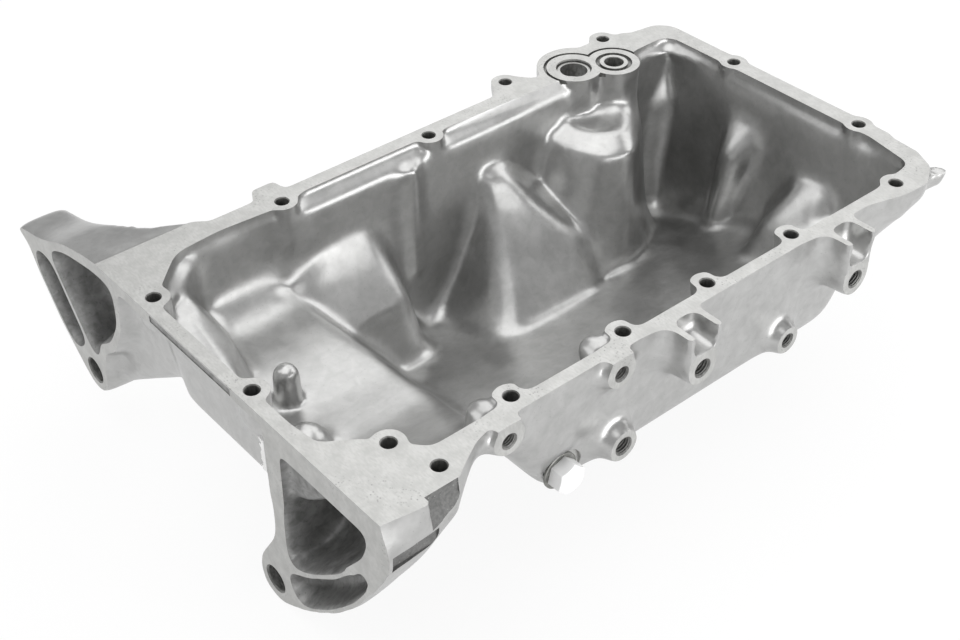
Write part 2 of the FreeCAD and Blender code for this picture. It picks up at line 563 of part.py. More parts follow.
end_fin = skinned([
    (-27.0, [(384.0, 4.0, 3.0), (371.0, 8.0, 3.0), (371.0, 30.0, 3.0), (384.0, 36.0, 3.0)]),
    (-44.0, [(384.0, 2.0, 3.0), (359.0, 12.0, 6.0), (357.0, 26.0, 5.0), (384.0, 38.0, 3.0)]),
    (-96.0, [(384.0, 18.0, 3.0), (359.0, 24.0, 4.0), (358.0, 32.0, 4.0), (384.0, 36.0, 3.0)]),
    (-118.0, [(384.0, 22.0, 3.0), (362.0, 26.0, 3.0), (362.0, 32.0, 3.0), (384.0, 36.0, 3.0)]),
])
corner_fin = skinned([
    (-24.0, [(384.0, 96.0, 2.0), (384.0, 82.0, 2.0), (372.0, 84.0, 3.0), (364.0, 90.0, 3.0),
             (362.0, 96.0, 2.0)]),
    (-40.0, [(384.0, 96.0, 3.0), (384.0, 75.0, 3.0), (368.0, 78.0, 5.0), (356.0, 84.0, 5.0),
             (352.0, 96.0, 3.0)]),
    (-116.0, [(384.0, 96.0, 3.0), (384.0, 76.0, 3.0), (368.0, 77.0, 5.0), (356.0, 80.0, 5.0),
              (351.0, 96.0, 3.0)]),
])
front_ridge = skinned([
    (-15.0, [(4.0, 58.0, 3.0), (22.0, 58.0, 5.0), (29.0, 66.0, 6.0), (31.0, 77.0, 6.0),
             (4.0, 84.0, 3.0)]),
    (-30.0, [(4.0, 24.0, 3.0), (24.0, 28.0, 6.0), (38.0, 52.0, 20.0), (40.0, 80.0, 8.0),
             (4.0, 90.0, 3.0)]),
    (-44.0, [(4.0, -2.0, 3.0), (21.0, 2.0, 6.0), (39.0, 42.0, 30.0), (44.0, 84.0, 9.0),
             (4.0, 92.0, 3.0)]),
    (-54.0, [(4.0, -8.0, 3.0), (22.0, -4.0, 6.0), (42.0, 38.0, 30.0), (48.0, 86.0, 9.0),
             (4.0, 94.0, 3.0)]),
])
stud_x = 43.2
stud_y = 14.0
stud = post(stud_x, stud_y, -33.5, -52, 13.2, 14.4)
stud = stud.fuse(Part.makeSphere(6.6, at(stud_x, stud_y, -33.5)))
front_hump = post(29.0, -22.0, -43, -52, 23.0, 26.0)
front_hump = front_hump.fuse(Part.makeSphere(11.5, at(29.0, -22.0, -44.0)))
pillar = post(176.0, 87.0, -7, -78, 12.0, 15.0)
inside_posts = [post(x, y, 1, -rail_bolts[name][2], bolt_boss).cut(front_relief)
                for name, (x, y, depth) in rail_bolts.items()
                if name not in outer_posts and name not in near_row]
for name in near_row:
    x, y, depth = rail_bolts[name]
    patch = boss_patch(x * stretch_x, y * stretch_y, bolt_boss, 6.0, near_edge * stretch_y, 1.0)
    inside_posts.append(patch.extrude(at(0, 0, -depth)))
inside = [tower, tower_step.cut(tower_dish), lobe, ramp, end_bulge, corner_block, end_fin, corner_fin,
          front_ridge, stud, front_hump, pillar, port_columns]
inside.extend(inside_posts)
inside.extend(blind_domes)
limits = sunk_shape(wall - 1.0).common(block(-20, 420, -140, 140, -140, -6))
limits = limits.fuse(mouth.common(block(-20, 420, -140, 140, -20, 0)))
limits = limits.fuse(shoulder)
casting = casting.fuse(joined(inside).common(limits))

# Hollows under the inner features, open towards the outside of the pan.
tower_hollow = skinned([
    (-40.0, [(282.0, 130.0, 4.0), (286.0, 74.0, 8.0), (294.0, 56.0, 10.0), (304.0, 51.0, 8.0),
             (314.0, 58.0, 10.0), (334.0, 76.0, 8.0), (339.0, 130.0, 4.0)]),
    (-134.0, [(262.0, 130.0, 4.0), (264.0, 66.0, 8.0), (268.0, 50.0, 10.0), (298.0, 44.0, 8.0),
              (314.0, 50.0, 10.0), (340.0, 70.0, 8.0), (346.0, 130.0, 4.0)]),
])
lobe_hollow = skinned([
    (-56.0, [(228.0, 130.0, 3.0), (229.0, 82.0, 5.0), (242.0, 78.0, 5.0), (258.0, 130.0, 3.0)]),
    (-84.0, [(219.0, 130.0, 3.0), (219.0, 55.0, 8.0), (260.0, 51.0, 8.0), (276.0, 130.0, 3.0)]),
    (-134.0, [(212.0, 130.0, 3.0), (210.0, 42.0, 10.0), (262.0, 38.0, 10.0), (278.0, 130.0, 3.0)]),
])
ramp_hollow = skinned([
    (-46.0, [(108.0, 130.0, 3.0), (110.0, 90.0, 3.0), (142.0, 90.0, 3.0), (146.0, 130.0, 3.0)]),
    (-80.0, [(112.0, 130.0, 3.0), (114.0, 64.0, 8.0), (148.0, 64.0, 8.0), (156.0, 130.0, 3.0)]),
    (-134.0, [(124.0, 130.0, 3.0), (126.0, 60.0, 8.0), (152.0, 60.0, 8.0), (160.0, 130.0, 3.0)]),
])
corner_hollow = skinned([
    (-27.0, [(400.0, -120.0, 2.0), (348.0, -120.0, 2.0), (350.0, -103.0, 2.0), (356.0, -101.0, 3.0),
             (372.0, -99.5, 4.0), (400.0, -99.0, 2.0)]),
    (-38.0, [(400.0, -120.0, 2.0), (331.0, -120.0, 2.0), (333.0, -96.0, 4.0), (343.0, -90.5, 5.0),
             (371.0, -86.5, 6.0), (400.0, -85.0, 2.0)]),
    (-52.0, [(400.0, -120.0, 2.0), (318.0, -120.0, 2.0), (320.0, -88.0, 5.0), (335.0, -80.0, 7.0),
             (366.0, -71.0, 7.0), (400.0, -69.0, 2.0)]),
    (-68.0, [(400.0, -120.0, 2.0), (310.0, -120.0, 2.0), (312.0, -82.0, 5.0), (336.0, -66.0, 8.0),
             (358.0, -51.0, 7.0), (400.0, -46.0, 2.0)]),
    (-80.0, [(400.0, -120.0, 2.0), (306.0, -120.0, 2.0), (308.0, -79.0, 5.0), (335.0, -58.0, 9.0),
             (354.0, -35.0, 7.0), (400.0, -27.0, 2.0)]),
    (-104.0, [(400.0, -120.0, 2.0), (303.0, -120.0, 2.0), (305.0, -76.0, 5.0), (332.0, -50.0, 9.0),
              (345.0, -18.0, 7.0), (400.0, -9.0, 2.0)]),
    (-134.0, [(400.0, -120.0, 2.0), (303.0, -120.0, 2.0), (305.0, -76.0, 5.0), (332.0, -50.0, 9.0),
              (345.0, -18.0, 7.0), (400.0, -9.0, 2.0)]),
])
bulge_hollow = skinned([
    (-50.0, [(400.0, -44.0, 2.0), (372.0, -42.0, 3.0), (372.0, -32.0, 3.0), (400.0, -30.0, 2.0)]),
    (-66.0, [(400.0, -54.0, 2.0), (357.0, -48.0, 4.0), (355.0, -25.0, 4.0), (400.0, -18.0, 2.0)]),
    (-104.0, [(400.0, -62.0, 2.0), (347.0, -56.0, 4.0), (345.0, -15.0, 4.0), (400.0, -6.0, 2.0)]),
    (-134.0, [(400.0, -62.0, 2.0), (347.0, -56.0, 4.0), (345.0, -15.0, 4.0), (400.0, -6.0, 2.0)]),
])
under_rail = block(0, 420, -140, 140, -140, -rail_depth - 4.0)
hollows = [shape.common(under_rail)
           for shape in (tower_hollow, lobe_hollow, ramp_hollow, corner_hollow, bulge_hollow)]

# Machined features.
cuts = list(taps)
for name, (x, y, depth) in rail_bolts.items():
    hole_depth = depth + 6.0 if name in outer_posts else depth - 4.0
    cuts.append(post(x, y, 2, -hole_depth, bolt_hole))
x_way = FreeCAD.Vector(1, 0, 0)
for y, z in (far_ear_hole, near_ear_hole):
    cuts.append(rod(at(-5.0, y, z), x_way, 45.0 * stretch_x, ear_hole))
    mouth_point = at(0, y, z)
    cuts.append(Part.makeCone(ear_hole / 2.0 + 0.8, ear_hole / 2.0, 0.8, mouth_point, x_way))
cuts.append(post(port_a[0], port_a[1], 1, -port_depth, port_large))
cuts.append(post(port_b[0], port_b[1], 1, -port_depth, port_small))
cuts.append(post(port_a[0], port_a[1], 2.4, -1.6, port_large + 4.8))
ring_outer = post(port_b[0], port_b[1], 2.4, -1.6, port_small + 10.4)
cuts.append(ring_outer.cut(post(port_b[0], port_b[1], 4.0, -4.0, port_small + 5.2)))
groove_width = 1.8
groove_outer = post(port_a[0], port_a[1], 1, -2.2, 32.0 + 2 * groove_width)
groove_outer = groove_outer.fuse(post(port_b[0], port_b[1], 1, -2.2, 30.6 + 2 * groove_width))
cuts.append(groove_outer.cut([post(port_a[0], port_a[1], 3, -6, 32.0),
                              post(port_b[0], port_b[1], 3, -6, 30.6)]))
drain_way = rod(drain_spot + to_near, FreeCAD.Vector(0, 1, 0), 40.0, drain_thread + 0.2)
cuts.append(drain_way)
spot_face = rod(drain_spot, to_near, 9.0, washer_outer + 5.0)
cuts.append(spot_face)
cuts.append(pushed(in_cross(upper_notch, notch_start), notch_length, 0, 0))
casting = casting.cut(joined(hollows)).cut(cuts)
casting = casting.cut([block(-30, 430, -200, 260, 0, 20), block(-30, 0, -200, 260, -160, 20)])
casting = casting.removeSplitter()
casting = max(casting.Solids, key=lambda solid: solid.Volume)
casting.exportStep("parts/pan_casting.step")

# Drain plug and its sealing washer.
head_start = drain_spot + to_near * washer_thickness
hexagon = []
for index in range(6):
    turn = math.radians(60.0 * index + 12.0)
    reach = drain_head_flats / math.sqrt(3.0)
    hexagon.append(head_start + FreeCAD.Vector(reach * math.cos(turn), 0, reach * math.sin(turn)))
head = Part.Face(Part.makePolygon(hexagon + hexagon[:1])).extrude(to_near * drain_head_height)
head_dome = Part.makeCone(drain_head_flats * 0.5 + 6.0, drain_head_flats * 0.5 - 0.4, 6.4,
                          head_start + to_near * (drain_head_height - 6.4), to_near)
head = head.common(head_dome.fuse(rod(head_start, to_near, drain_head_height - 6.4, 60.0)))
shank = rod(head_start, FreeCAD.Vector(0, 1, 0), 16.0 + washer_thickness, drain_thread)
plug = head.fuse(shank).removeSplitter()
plug.exportStep("parts/drain_plug.step")
washer = rod(drain_spot, to_near, washer_thickness, washer_outer)
washer = washer.cut(rod(drain_spot - to_near * 1.0, to_near, washer_thickness + 2.0, drain_thread + 0.4))
washer.exportStep("parts/drain_washer.step")
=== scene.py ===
"""Looks of a die-cast engine oil pan with its drain plug and washer.

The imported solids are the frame. The casting is rebuilt as it is made: the solid gets machining
stock on its flat faces, its corners are softened as a die leaves them, and then the gasket face,
the end face, the bosses, holes and threads are cut into it with crisp edges.
"""
import logging
import math
from collections.abc import Iterable
from dataclasses import dataclass, field
from enum import Enum

import bmesh
import bpy
from mathutils import Matrix, Vector, noise

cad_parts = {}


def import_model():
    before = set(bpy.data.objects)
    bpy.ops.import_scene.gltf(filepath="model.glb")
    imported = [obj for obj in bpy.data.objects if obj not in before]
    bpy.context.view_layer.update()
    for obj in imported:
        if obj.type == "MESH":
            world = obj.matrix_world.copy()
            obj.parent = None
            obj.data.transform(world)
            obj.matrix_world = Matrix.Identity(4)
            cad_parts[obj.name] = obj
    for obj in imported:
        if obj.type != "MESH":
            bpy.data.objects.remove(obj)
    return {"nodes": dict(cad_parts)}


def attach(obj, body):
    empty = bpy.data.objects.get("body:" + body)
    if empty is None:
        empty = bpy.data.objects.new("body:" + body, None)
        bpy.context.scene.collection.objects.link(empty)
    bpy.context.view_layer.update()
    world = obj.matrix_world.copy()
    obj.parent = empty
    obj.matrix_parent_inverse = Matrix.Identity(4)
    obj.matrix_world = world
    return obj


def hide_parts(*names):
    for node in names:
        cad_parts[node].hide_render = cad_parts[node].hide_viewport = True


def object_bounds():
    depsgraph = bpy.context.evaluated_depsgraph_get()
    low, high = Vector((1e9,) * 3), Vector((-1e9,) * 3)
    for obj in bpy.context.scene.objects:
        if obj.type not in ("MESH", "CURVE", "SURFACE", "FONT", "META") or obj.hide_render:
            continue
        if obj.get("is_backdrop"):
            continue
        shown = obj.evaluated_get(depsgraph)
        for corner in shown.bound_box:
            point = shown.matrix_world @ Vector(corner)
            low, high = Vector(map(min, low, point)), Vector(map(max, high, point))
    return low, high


LOG = logging.getLogger("oil_pan")
MM = 0.001
DOWN = Vector((0.0, 0.0, -1.0))
INTO_FRONT = Vector((1.0, 0.0, 0.0))
INTO_SIDE = Vector((0.0, 1.0, 0.0))
OUT_OF_SIDE = Vector((0.0, -1.0, 0.0))
FACES_UP = 0.9
DRAIN_SPOT = (118.0, -96.2, -60.6)
# A mix node's colour sockets share their names with others, so they go by number.
MIX_FIRST, MIX_SECOND, MIX_RESULT = 6, 7, 2


class Surface(Enum):
    """Material slots of the casting, in the order that cutters share with it."""

    # INSIDE, BORE, RECESS and POCKET carry darker copies of the cast or milled finish, which paint
    # shade.
    OUTSIDE = 0
    INSIDE = 1
    MACHINED = 2
    BORE = 3
    RECESS = 4
    POCKET = 5


class Thread(Enum):
    """Coarse metric threads: thread diameter, tapping drill and pitch in millimetres."""

    M8 = (8.0, 6.8, 1.25)
    M10 = (10.0, 8.5, 1.5)


def colour(code: str) -> tuple[float, float, float, float]:
    """Turns a sRGB hex colour to linear.

    Args:
        code: six hex digits, such as "c8cacc".

    Returns:
        Red, green, blue and an alpha of one.
    """
    parts = [int(code[index:index + 2], 16) / 255.0 for index in (0, 2, 4)]
    linear = [p / 12.92 if p <= 0.04045 else ((p + 0.055) / 1.055) ** 2.4 for p in parts]
    return linear[0], linear[1], linear[2], 1.0


def per_size(millimetres: float) -> float:
    """Texture scale at which one cell of a pattern measures that many millimetres."""
    return 1.0 / (millimetres * MM)


def add_node(tree: bpy.types.NodeTree, kind: str, inputs: dict | None = None,
             **settings: object) -> bpy.types.Node:
    """Adds a node with its settings and links.

    Args:
        tree: the node tree.
        kind: the node's type name.
        inputs: socket name or index to a value, or to the output socket that feeds it.
        settings: properties of the node.

    Returns:
        The new node.
    """
    node = tree.nodes.new(kind)
    for key, value in settings.items():
        setattr(node, key, value)
    for key, value in (inputs or {}).items():
        if isinstance(value, bpy.types.NodeSocket):
            tree.links.new(value, node.inputs[key])
        else:
            node.inputs[key].default_value = value
    return node


def new_material(name: str) -> tuple[bpy.types.Material, bpy.types.NodeTree, bpy.types.Node]:
    """Makes an empty node material.

    Args:
        name: the finish's name.

    Returns:
        The material, its node tree and its output node.
    """
    material = bpy.data.materials.new(name)
    material.use_nodes = True
    tree = material.node_tree
    tree.nodes.clear()
    return material, tree, add_node(tree, "ShaderNodeOutputMaterial")


def mix_colours(tree: bpy.types.NodeTree, share: bpy.types.NodeSocket, first: object,
                second: object) -> bpy.types.NodeSocket:
    """Mixes two colours, each given as a value or as an output socket.

    Args:
        tree: the node tree.
        share: how much of the second colour shows.
        first: the colour at a share of zero.
        second: the colour at a share of one.

    Returns:
        The socket that gives the mixed colour.
    """
    node = add_node(tree, "ShaderNodeMix", {
        "Factor": share, MIX_FIRST: first, MIX_SECOND: second}, data_type="RGBA")
    return node.outputs[MIX_RESULT]


@dataclass(frozen=True)
class CastAluminium:
    """Die-cast aluminium as it leaves the die: fine grain, flow mottling and soft gloss.

    The melt freezes against the steel, so the skin is smooth at a glance and carries faint
    cloudy patches, a fine grain and a few pores of another tone close up.
    """

    name: str
    pale: str
    dark: str
    roughness_low: float
    roughness_high: float
    metallic: float
    cloud_mm: float
    grain_mm: float
    grain_height_mm: float
    wave_height_mm: float
    pore_colour: str
    pore_amount: float

    def make(self) -> bpy.types.Material:
        """Builds the material."""
        material, tree, output = new_material(self.name)
        place = add_node(tree, "ShaderNodeTexCoord").outputs["Object"]
        cloud = add_node(tree, "ShaderNodeTexNoise", {
            "Vector": place, "Scale": per_size(self.cloud_mm), "Detail": 5.0, "Roughness": 0.62})
        patch = add_node(tree, "ShaderNodeTexNoise", {
            "Vector": place, "Scale": per_size(self.cloud_mm * 0.28), "Detail": 3.0,
            "Distortion": 0.6})
        mixed = add_node(tree, "ShaderNodeMath", {
            0: cloud.outputs["Fac"], 1: patch.outputs["Fac"]}, operation="ADD")
        amount = add_node(tree, "ShaderNodeMapRange", {
            "Value": mixed.outputs[0], "From Min": 0.72, "From Max": 1.28})
        tint = mix_colours(tree, amount.outputs["Result"], colour(self.dark), colour(self.pale))
        pores = add_node(tree, "ShaderNodeTexVoronoi", {
            "Vector": place, "Scale": per_size(2.6), "Randomness": 1.0})
        pore_mask = add_node(tree, "ShaderNodeMapRange", {
            "Value": pores.outputs["Distance"], "From Min": 0.07, "From Max": 0.16,
            "To Min": self.pore_amount, "To Max": 0.0})
        skin = mix_colours(tree, pore_mask.outputs["Result"], tint, colour(self.pore_colour))
        gloss = add_node(tree, "ShaderNodeMapRange", {
            "Value": cloud.outputs["Fac"], "From Min": 0.35, "From Max": 0.65,
            "To Min": self.roughness_low, "To Max": self.roughness_high})
        grain = add_node(tree, "ShaderNodeTexNoise", {
            "Vector": place, "Scale": per_size(self.grain_mm), "Detail": 2.0})
        swell = add_node(tree, "ShaderNodeTexNoise", {
            "Vector": place, "Scale": per_size(self.cloud_mm * 0.9), "Detail": 2.0})
        grain_bump = add_node(tree, "ShaderNodeBump", {
            "Height": grain.outputs["Fac"], "Distance": self.grain_height_mm * MM,
            "Strength": 1.0})
        bump = add_node(tree, "ShaderNodeBump", {
            "Height": swell.outputs["Fac"], "Distance": self.wave_height_mm * MM,
            "Strength": 1.0, "Normal": grain_bump.outputs["Normal"]})
        shader = add_node(tree, "ShaderNodeBsdfPrincipled", {
            "Base Color": skin, "Metallic": self.metallic,
            "Roughness": gloss.outputs["Result"], "Normal": bump.outputs["Normal"]})
        tree.links.new(shader.outputs[0], output.inputs[0])
        return material


@dataclass(frozen=True)
class MilledAluminium:
    """Aluminium faced with a large cutter: bright, with arcs that the cutter's teeth leave."""

    name: str
    pale: str
    dark: str
    roughness: float
    metallic: float
    cutter_radius_mm: float
    feed_mm: float
    mark_height_mm: float
    pit_colour: str
    pit_amount: float

    def make(self) -> bpy.types.Material:
        """Builds the material."""
        material, tree, output = new_material(self.name)
        place = add_node(tree, "ShaderNodeTexCoord").outputs["Object"]
        axes = add_node(tree, "ShaderNodeSeparateXYZ", {"Vector": place})
        side = add_node(tree, "ShaderNodeMath", {
            0: axes.outputs["Y"], 1: axes.outputs["Z"]}, operation="ADD")
        bow = add_node(tree, "ShaderNodeMath", {
            0: side.outputs[0], 1: side.outputs[0]}, operation="MULTIPLY")
        arc = add_node(tree, "ShaderNodeMath", {
            0: bow.outputs[0], 1: 0.5 / (self.cutter_radius_mm * MM)}, operation="MULTIPLY")
        along = add_node(tree, "ShaderNodeMath", {
            0: axes.outputs["X"], 1: arc.outputs[0]}, operation="ADD")
        phase = add_node(tree, "ShaderNodeMath", {
            0: along.outputs[0], 1: math.tau / (self.feed_mm * MM)}, operation="MULTIPLY")
        wave = add_node(tree, "ShaderNodeMath", {0: phase.outputs[0]}, operation="SINE")
        cloud = add_node(tree, "ShaderNodeTexNoise", {
            "Vector": place, "Scale": per_size(9.0), "Detail": 4.0})
        streak_map = add_node(tree, "ShaderNodeMapping", {
            "Vector": place, "Scale": (1.0, 0.35, 0.35)})
        streak = add_node(tree, "ShaderNodeTexNoise", {
            "Vector": streak_map.outputs[0], "Scale": per_size(1.0), "Detail": 3.0})
        amount = add_node(tree, "ShaderNodeMath", {
            0: cloud.outputs["Fac"], 1: streak.outputs["Fac"]}, operation="MULTIPLY")
        spread = add_node(tree, "ShaderNodeMapRange", {
            "Value": amount.outputs[0], "From Min": 0.14, "From Max": 0.36})
        tint = mix_colours(tree, spread.outputs["Result"], colour(self.dark), colour(self.pale))
        pores = add_node(tree, "ShaderNodeTexVoronoi", {
            "Vector": place, "Scale": per_size(1.7), "Randomness": 1.0})
        pore_mask = add_node(tree, "ShaderNodeMapRange", {
            "Value": pores.outputs["Distance"], "From Min": 0.12, "From Max": 0.3,
            "To Min": self.pit_amount, "To Max": 0.0})
        area = add_node(tree, "ShaderNodeTexNoise", {
            "Vector": place, "Scale": per_size(26.0), "Detail": 4.0})
        area_mask = add_node(tree, "ShaderNodeMapRange", {
            "Value": area.outputs["Fac"], "From Min": 0.5, "From Max": 0.64})
        pitted = add_node(tree, "ShaderNodeMath", {
            0: pore_mask.outputs["Result"], 1: area_mask.outputs["Result"]},
            operation="MULTIPLY")
        skin = mix_colours(tree, pitted.outputs[0], tint, colour(self.pit_colour))
        gloss = add_node(tree, "ShaderNodeMapRange", {
            "Value": streak.outputs["Fac"], "From Min": 0.3, "From Max": 0.7,
            "To Min": self.roughness - 0.05, "To Max": self.roughness + 0.07})
        bump = add_node(tree, "ShaderNodeBump", {
            "Height": wave.outputs[0], "Distance": self.mark_height_mm * MM, "Strength": 0.6})
        shader = add_node(tree, "ShaderNodeBsdfPrincipled", {
            "Base Color": skin, "Metallic": self.metallic,
            "Roughness": gloss.outputs["Result"], "Normal": bump.outputs["Normal"]})
        tree.links.new(shader.outputs[0], output.inputs[0])
        return material


@dataclass(frozen=True)
class PlatedSteel:
    """Bright metal of a small part: a faintly cloudy tint and a fine grain."""

    name: str
    pale: str
    dark: str
    roughness: float

    def make(self) -> bpy.types.Material:
        """Builds the material."""
        material, tree, output = new_material(self.name)
        place = add_node(tree, "ShaderNodeTexCoord").outputs["Object"]
        cloud = add_node(tree, "ShaderNodeTexNoise", {
            "Vector": place, "Scale": per_size(3.5), "Detail": 4.0})
        grain = add_node(tree, "ShaderNodeTexNoise", {
            "Vector": place, "Scale": per_size(0.35), "Detail": 2.0})
        spread = add_node(tree, "ShaderNodeMapRange", {
            "Value": cloud.outputs["Fac"], "From Min": 0.35, "From Max": 0.65})
        tint = mix_colours(tree, spread.outputs["Result"], colour(self.dark), colour(self.pale))
        gloss = add_node(tree, "ShaderNodeMapRange", {
            "Value": grain.outputs["Fac"], "To Min": self.roughness - 0.08,
            "To Max": self.roughness + 0.1})
        bump = add_node(tree, "ShaderNodeBump", {
            "Height": grain.outputs["Fac"], "Distance": 0.02 * MM, "Strength": 0.7})
        shader = add_node(tree, "ShaderNodeBsdfPrincipled", {
            "Base Color": tint, "Metallic": 1.0,
            "Roughness": gloss.outputs["Result"], "Normal": bump.outputs["Normal"]})
        tree.links.new(shader.outputs[0], output.inputs[0])
        return material


OUTSIDE_SKIN = CastAluminium("die_cast_aluminium_outside", "eeeeed", "e6e6e5", 0.42, 0.52, 0.3,
                             16.0, 0.9, 0.025, 0.035, "9a9a9a", 0.3)
# A darker copy of the same cast skin for the sump's inside: painted shade, which the fill also
# spreads over most of the outside.
INSIDE_SKIN_PAINTED_SHADE = CastAluminium("die_cast_aluminium_inside_painted_shade", "bcbcbb", "acacab", 0.28, 0.36, 0.92,
                            20.0, 0.9, 0.02, 0.12, "747474", 0.25)
MILLED_FACE = MilledAluminium("milled_aluminium", "bcbcba", "ababa9", 0.44, 0.7, 62.0, 1.1, 0.005,
                              "7c7c7b", 0.7)
# Drilled and tapped walls, rings and grooves: the feed marks are real; the tone darker than the
# milled face is painted shade.
BORED_WALL_PAINTED_SHADE = MilledAluminium("drilled_aluminium_painted_shade", "868684", "5a5a58", 0.42, 0.55, 40.0, 0.7,
                             0.008, "5c5c5b", 0.2)
# A darker copy of the cast skin: painted shade in the near ear's notch and shelf.
RECESS_SKIN_PAINTED_SHADE = CastAluminium("die_cast_aluminium_recess_painted_shade", "747473", "555554", 0.6, 0.7, 0.2,
                            5.0, 0.7, 0.05, 0.05, "b4b4b2", 0.5)
# A darker copy of the cast skin: painted shade in the ear pockets; the front band takes it too.
POCKET_SKIN_PAINTED_SHADE = CastAluminium("die_cast_aluminium_pocket_painted_shade", "9e9e9d", "747473", 0.42, 0.55, 0.6,
                            14.0, 0.9, 0.04, 0.1, "4c4c4c", 0.4)
PLUG_STEEL = PlatedSteel("zinc_plated_steel", "706e69", "5e5c58", 0.5)
WASHER_METAL = PlatedSteel("soft_aluminium_washer", "9a9a97", "7e7e7b", 0.5)


def link(mesh: bpy.types.Mesh, name: str) -> bpy.types.Object:
    """Puts a mesh in the scene as an object at the origin."""
    piece = bpy.data.objects.new(name, mesh)
    bpy.context.scene.collection.objects.link(piece)
    return piece


def to_piece(shape: bmesh.types.BMesh, name: str,
             finishes: Iterable[bpy.types.Material] = ()) -> bpy.types.Object:
    """Puts a shape in the scene and frees it.

    Args:
        shape: the shape, which can't be used afterwards.
        name: the name of the object and its mesh.
        finishes: its material slots, in order.

    Returns:
        The new object.
    """
    mesh = bpy.data.meshes.new(name)
    shape.to_mesh(mesh)
    shape.free()
    for finish in finishes:
        mesh.materials.append(finish)
    return link(mesh, name)


def add_boolean(piece: bpy.types.Object, operation: str, tool: bpy.types.Object) -> None:
    """Joins a closed object to another, cuts it away or keeps what both share."""
    step = piece.modifiers.new(operation.lower(), "BOOLEAN")
    step.operation = operation
    step.solver = "MANIFOLD"
    step.object = tool


def turn_to(direction: Vector, point: Vector) -> Matrix:
    """Placement that carries the local Z axis to a direction and the origin to a point."""
    return Matrix.Translation(point) @ direction.to_track_quat("Z", "Y").to_matrix().to_4x4()


def turned(profile: Iterable[tuple[float, float]], point: Vector, direction: Vector,
           steps: int = 48) -> bmesh.types.BMesh:
    """Turns a profile on an axis, as on a lathe.

    Args:
        profile: distances along the axis and radii, in millimetres, as a closed run of points.
        point: start of the axis in metres.
        direction: the axis.
        steps: facets of a full turn.

    Returns:
        A closed shape.
    """
    shape = bmesh.new()
    points = [shape.verts.new((radius * MM, 0.0, along * MM)) for along, radius in profile]
    edges = [shape.edges.new(pair) for pair in zip(points, points[1:])]
    if min(radius for _, radius in profile) > 0.0:
        edges.append(shape.edges.new((points[-1], points[0])))
    bmesh.ops.spin(shape, geom=points + edges, cent=(0, 0, 0), axis=(0, 0, 1),
                   angle=math.tau, steps=steps, use_merge=True)
    bmesh.ops.remove_doubles(shape, verts=shape.verts, dist=1e-6)
    bmesh.ops.recalc_face_normals(shape, faces=shape.faces)
    shape.transform(turn_to(direction, point))
    return shape


def slab(low: tuple[float, float, float], high: tuple[float, float, float]) -> bmesh.types.BMesh:
    """Makes a box between two corners given in millimetres."""
    shape = bmesh.new()
    bmesh.ops.create_cube(shape, size=1.0)
    size = [(h - l) * MM for l, h in zip(low, high)]
    centre = [(h + l) * MM / 2.0 for l, h in zip(low, high)]
    bmesh.ops.scale(shape, vec=size, verts=shape.verts)
    bmesh.ops.translate(shape, vec=centre, verts=shape.verts)
    return shape


def prism(outline: Iterable[tuple[float, float, float]],
          push: tuple[float, float, float]) -> bmesh.types.BMesh:
    """Pushes a flat outline along a vector, both in millimetres.

    Args:
        outline: the corners in order.
        push: how far the outline is carried.

    Returns:
        A closed shape.
    """
    shape = bmesh.new()
    rim = [shape.verts.new([part * MM for part in corner]) for corner in outline]
    face = shape.faces.new(rim)
    far = bmesh.ops.extrude_face_region(shape, geom=[face])["geom"]
    moved = [item for item in far if isinstance(item, bmesh.types.BMVert)]
    bmesh.ops.translate(shape, vec=[part * MM for part in push], verts=moved)
    bmesh.ops.recalc_face_normals(shape, faces=shape.faces)
    return shape


def coil(thread: Thread, length: float, point: Vector, direction: Vector) -> bmesh.types.BMesh:
    """Sweeps the V of a thread along its helix.

    Args:
        thread: the thread's sizes.
        length: threaded length in millimetres.
        point: centre of the hole's mouth in metres.
        direction: the way into the hole.

    Returns:
        A closed coil that a boolean cuts out of the hole's wall.
    """
    major, drill, pitch = thread.value
    steps_a_turn = 26
    turns = int(length / pitch)
    shape = bmesh.new()
    corners = [(drill / 2.0 - 0.12, -0.44 * pitch), (major / 2.0, 0.0),
               (drill / 2.0 - 0.12, 0.44 * pitch)]
    points = [shape.verts.new((radius * MM, 0.0, (along - pitch) * MM))
              for radius, along in corners]
    section = shape.faces.new(points)
    bmesh.ops.spin(shape, geom=[section], cent=(0, 0, 0), axis=(0, 0, 1),
                   dvec=(0.0, 0.0, pitch * MM / steps_a_turn), angle=math.tau * turns,
                   steps=steps_a_turn * turns)
    bmesh.ops.recalc_face_normals(shape, faces=shape.faces)
    shape.transform(turn_to(direction, point))
    return shape


def evaluated(piece: bpy.types.Object) -> bpy.types.Mesh:
    """Mesh of an object with its modifiers applied."""
    graph = bpy.context.evaluated_depsgraph_get()
    return bpy.data.meshes.new_from_object(piece.evaluated_get(graph))


@dataclass(frozen=True)
class RailHole:
    """One bolt hole through the gasket face, in millimetres."""

    x: float
    y: float
    depth: float


@dataclass(frozen=True)
class SideBoss:
    """One threaded boss on the near side, in millimetres."""

    x: float
    z: float
    face: float
    diameter: float
    thread: Thread
    flush_above: bool


@dataclass(frozen=True)
class OilPort:
    """One oil port in the gasket face, in millimetres."""

    x: float
    y: float
    diameter: float
    land_diameter: float


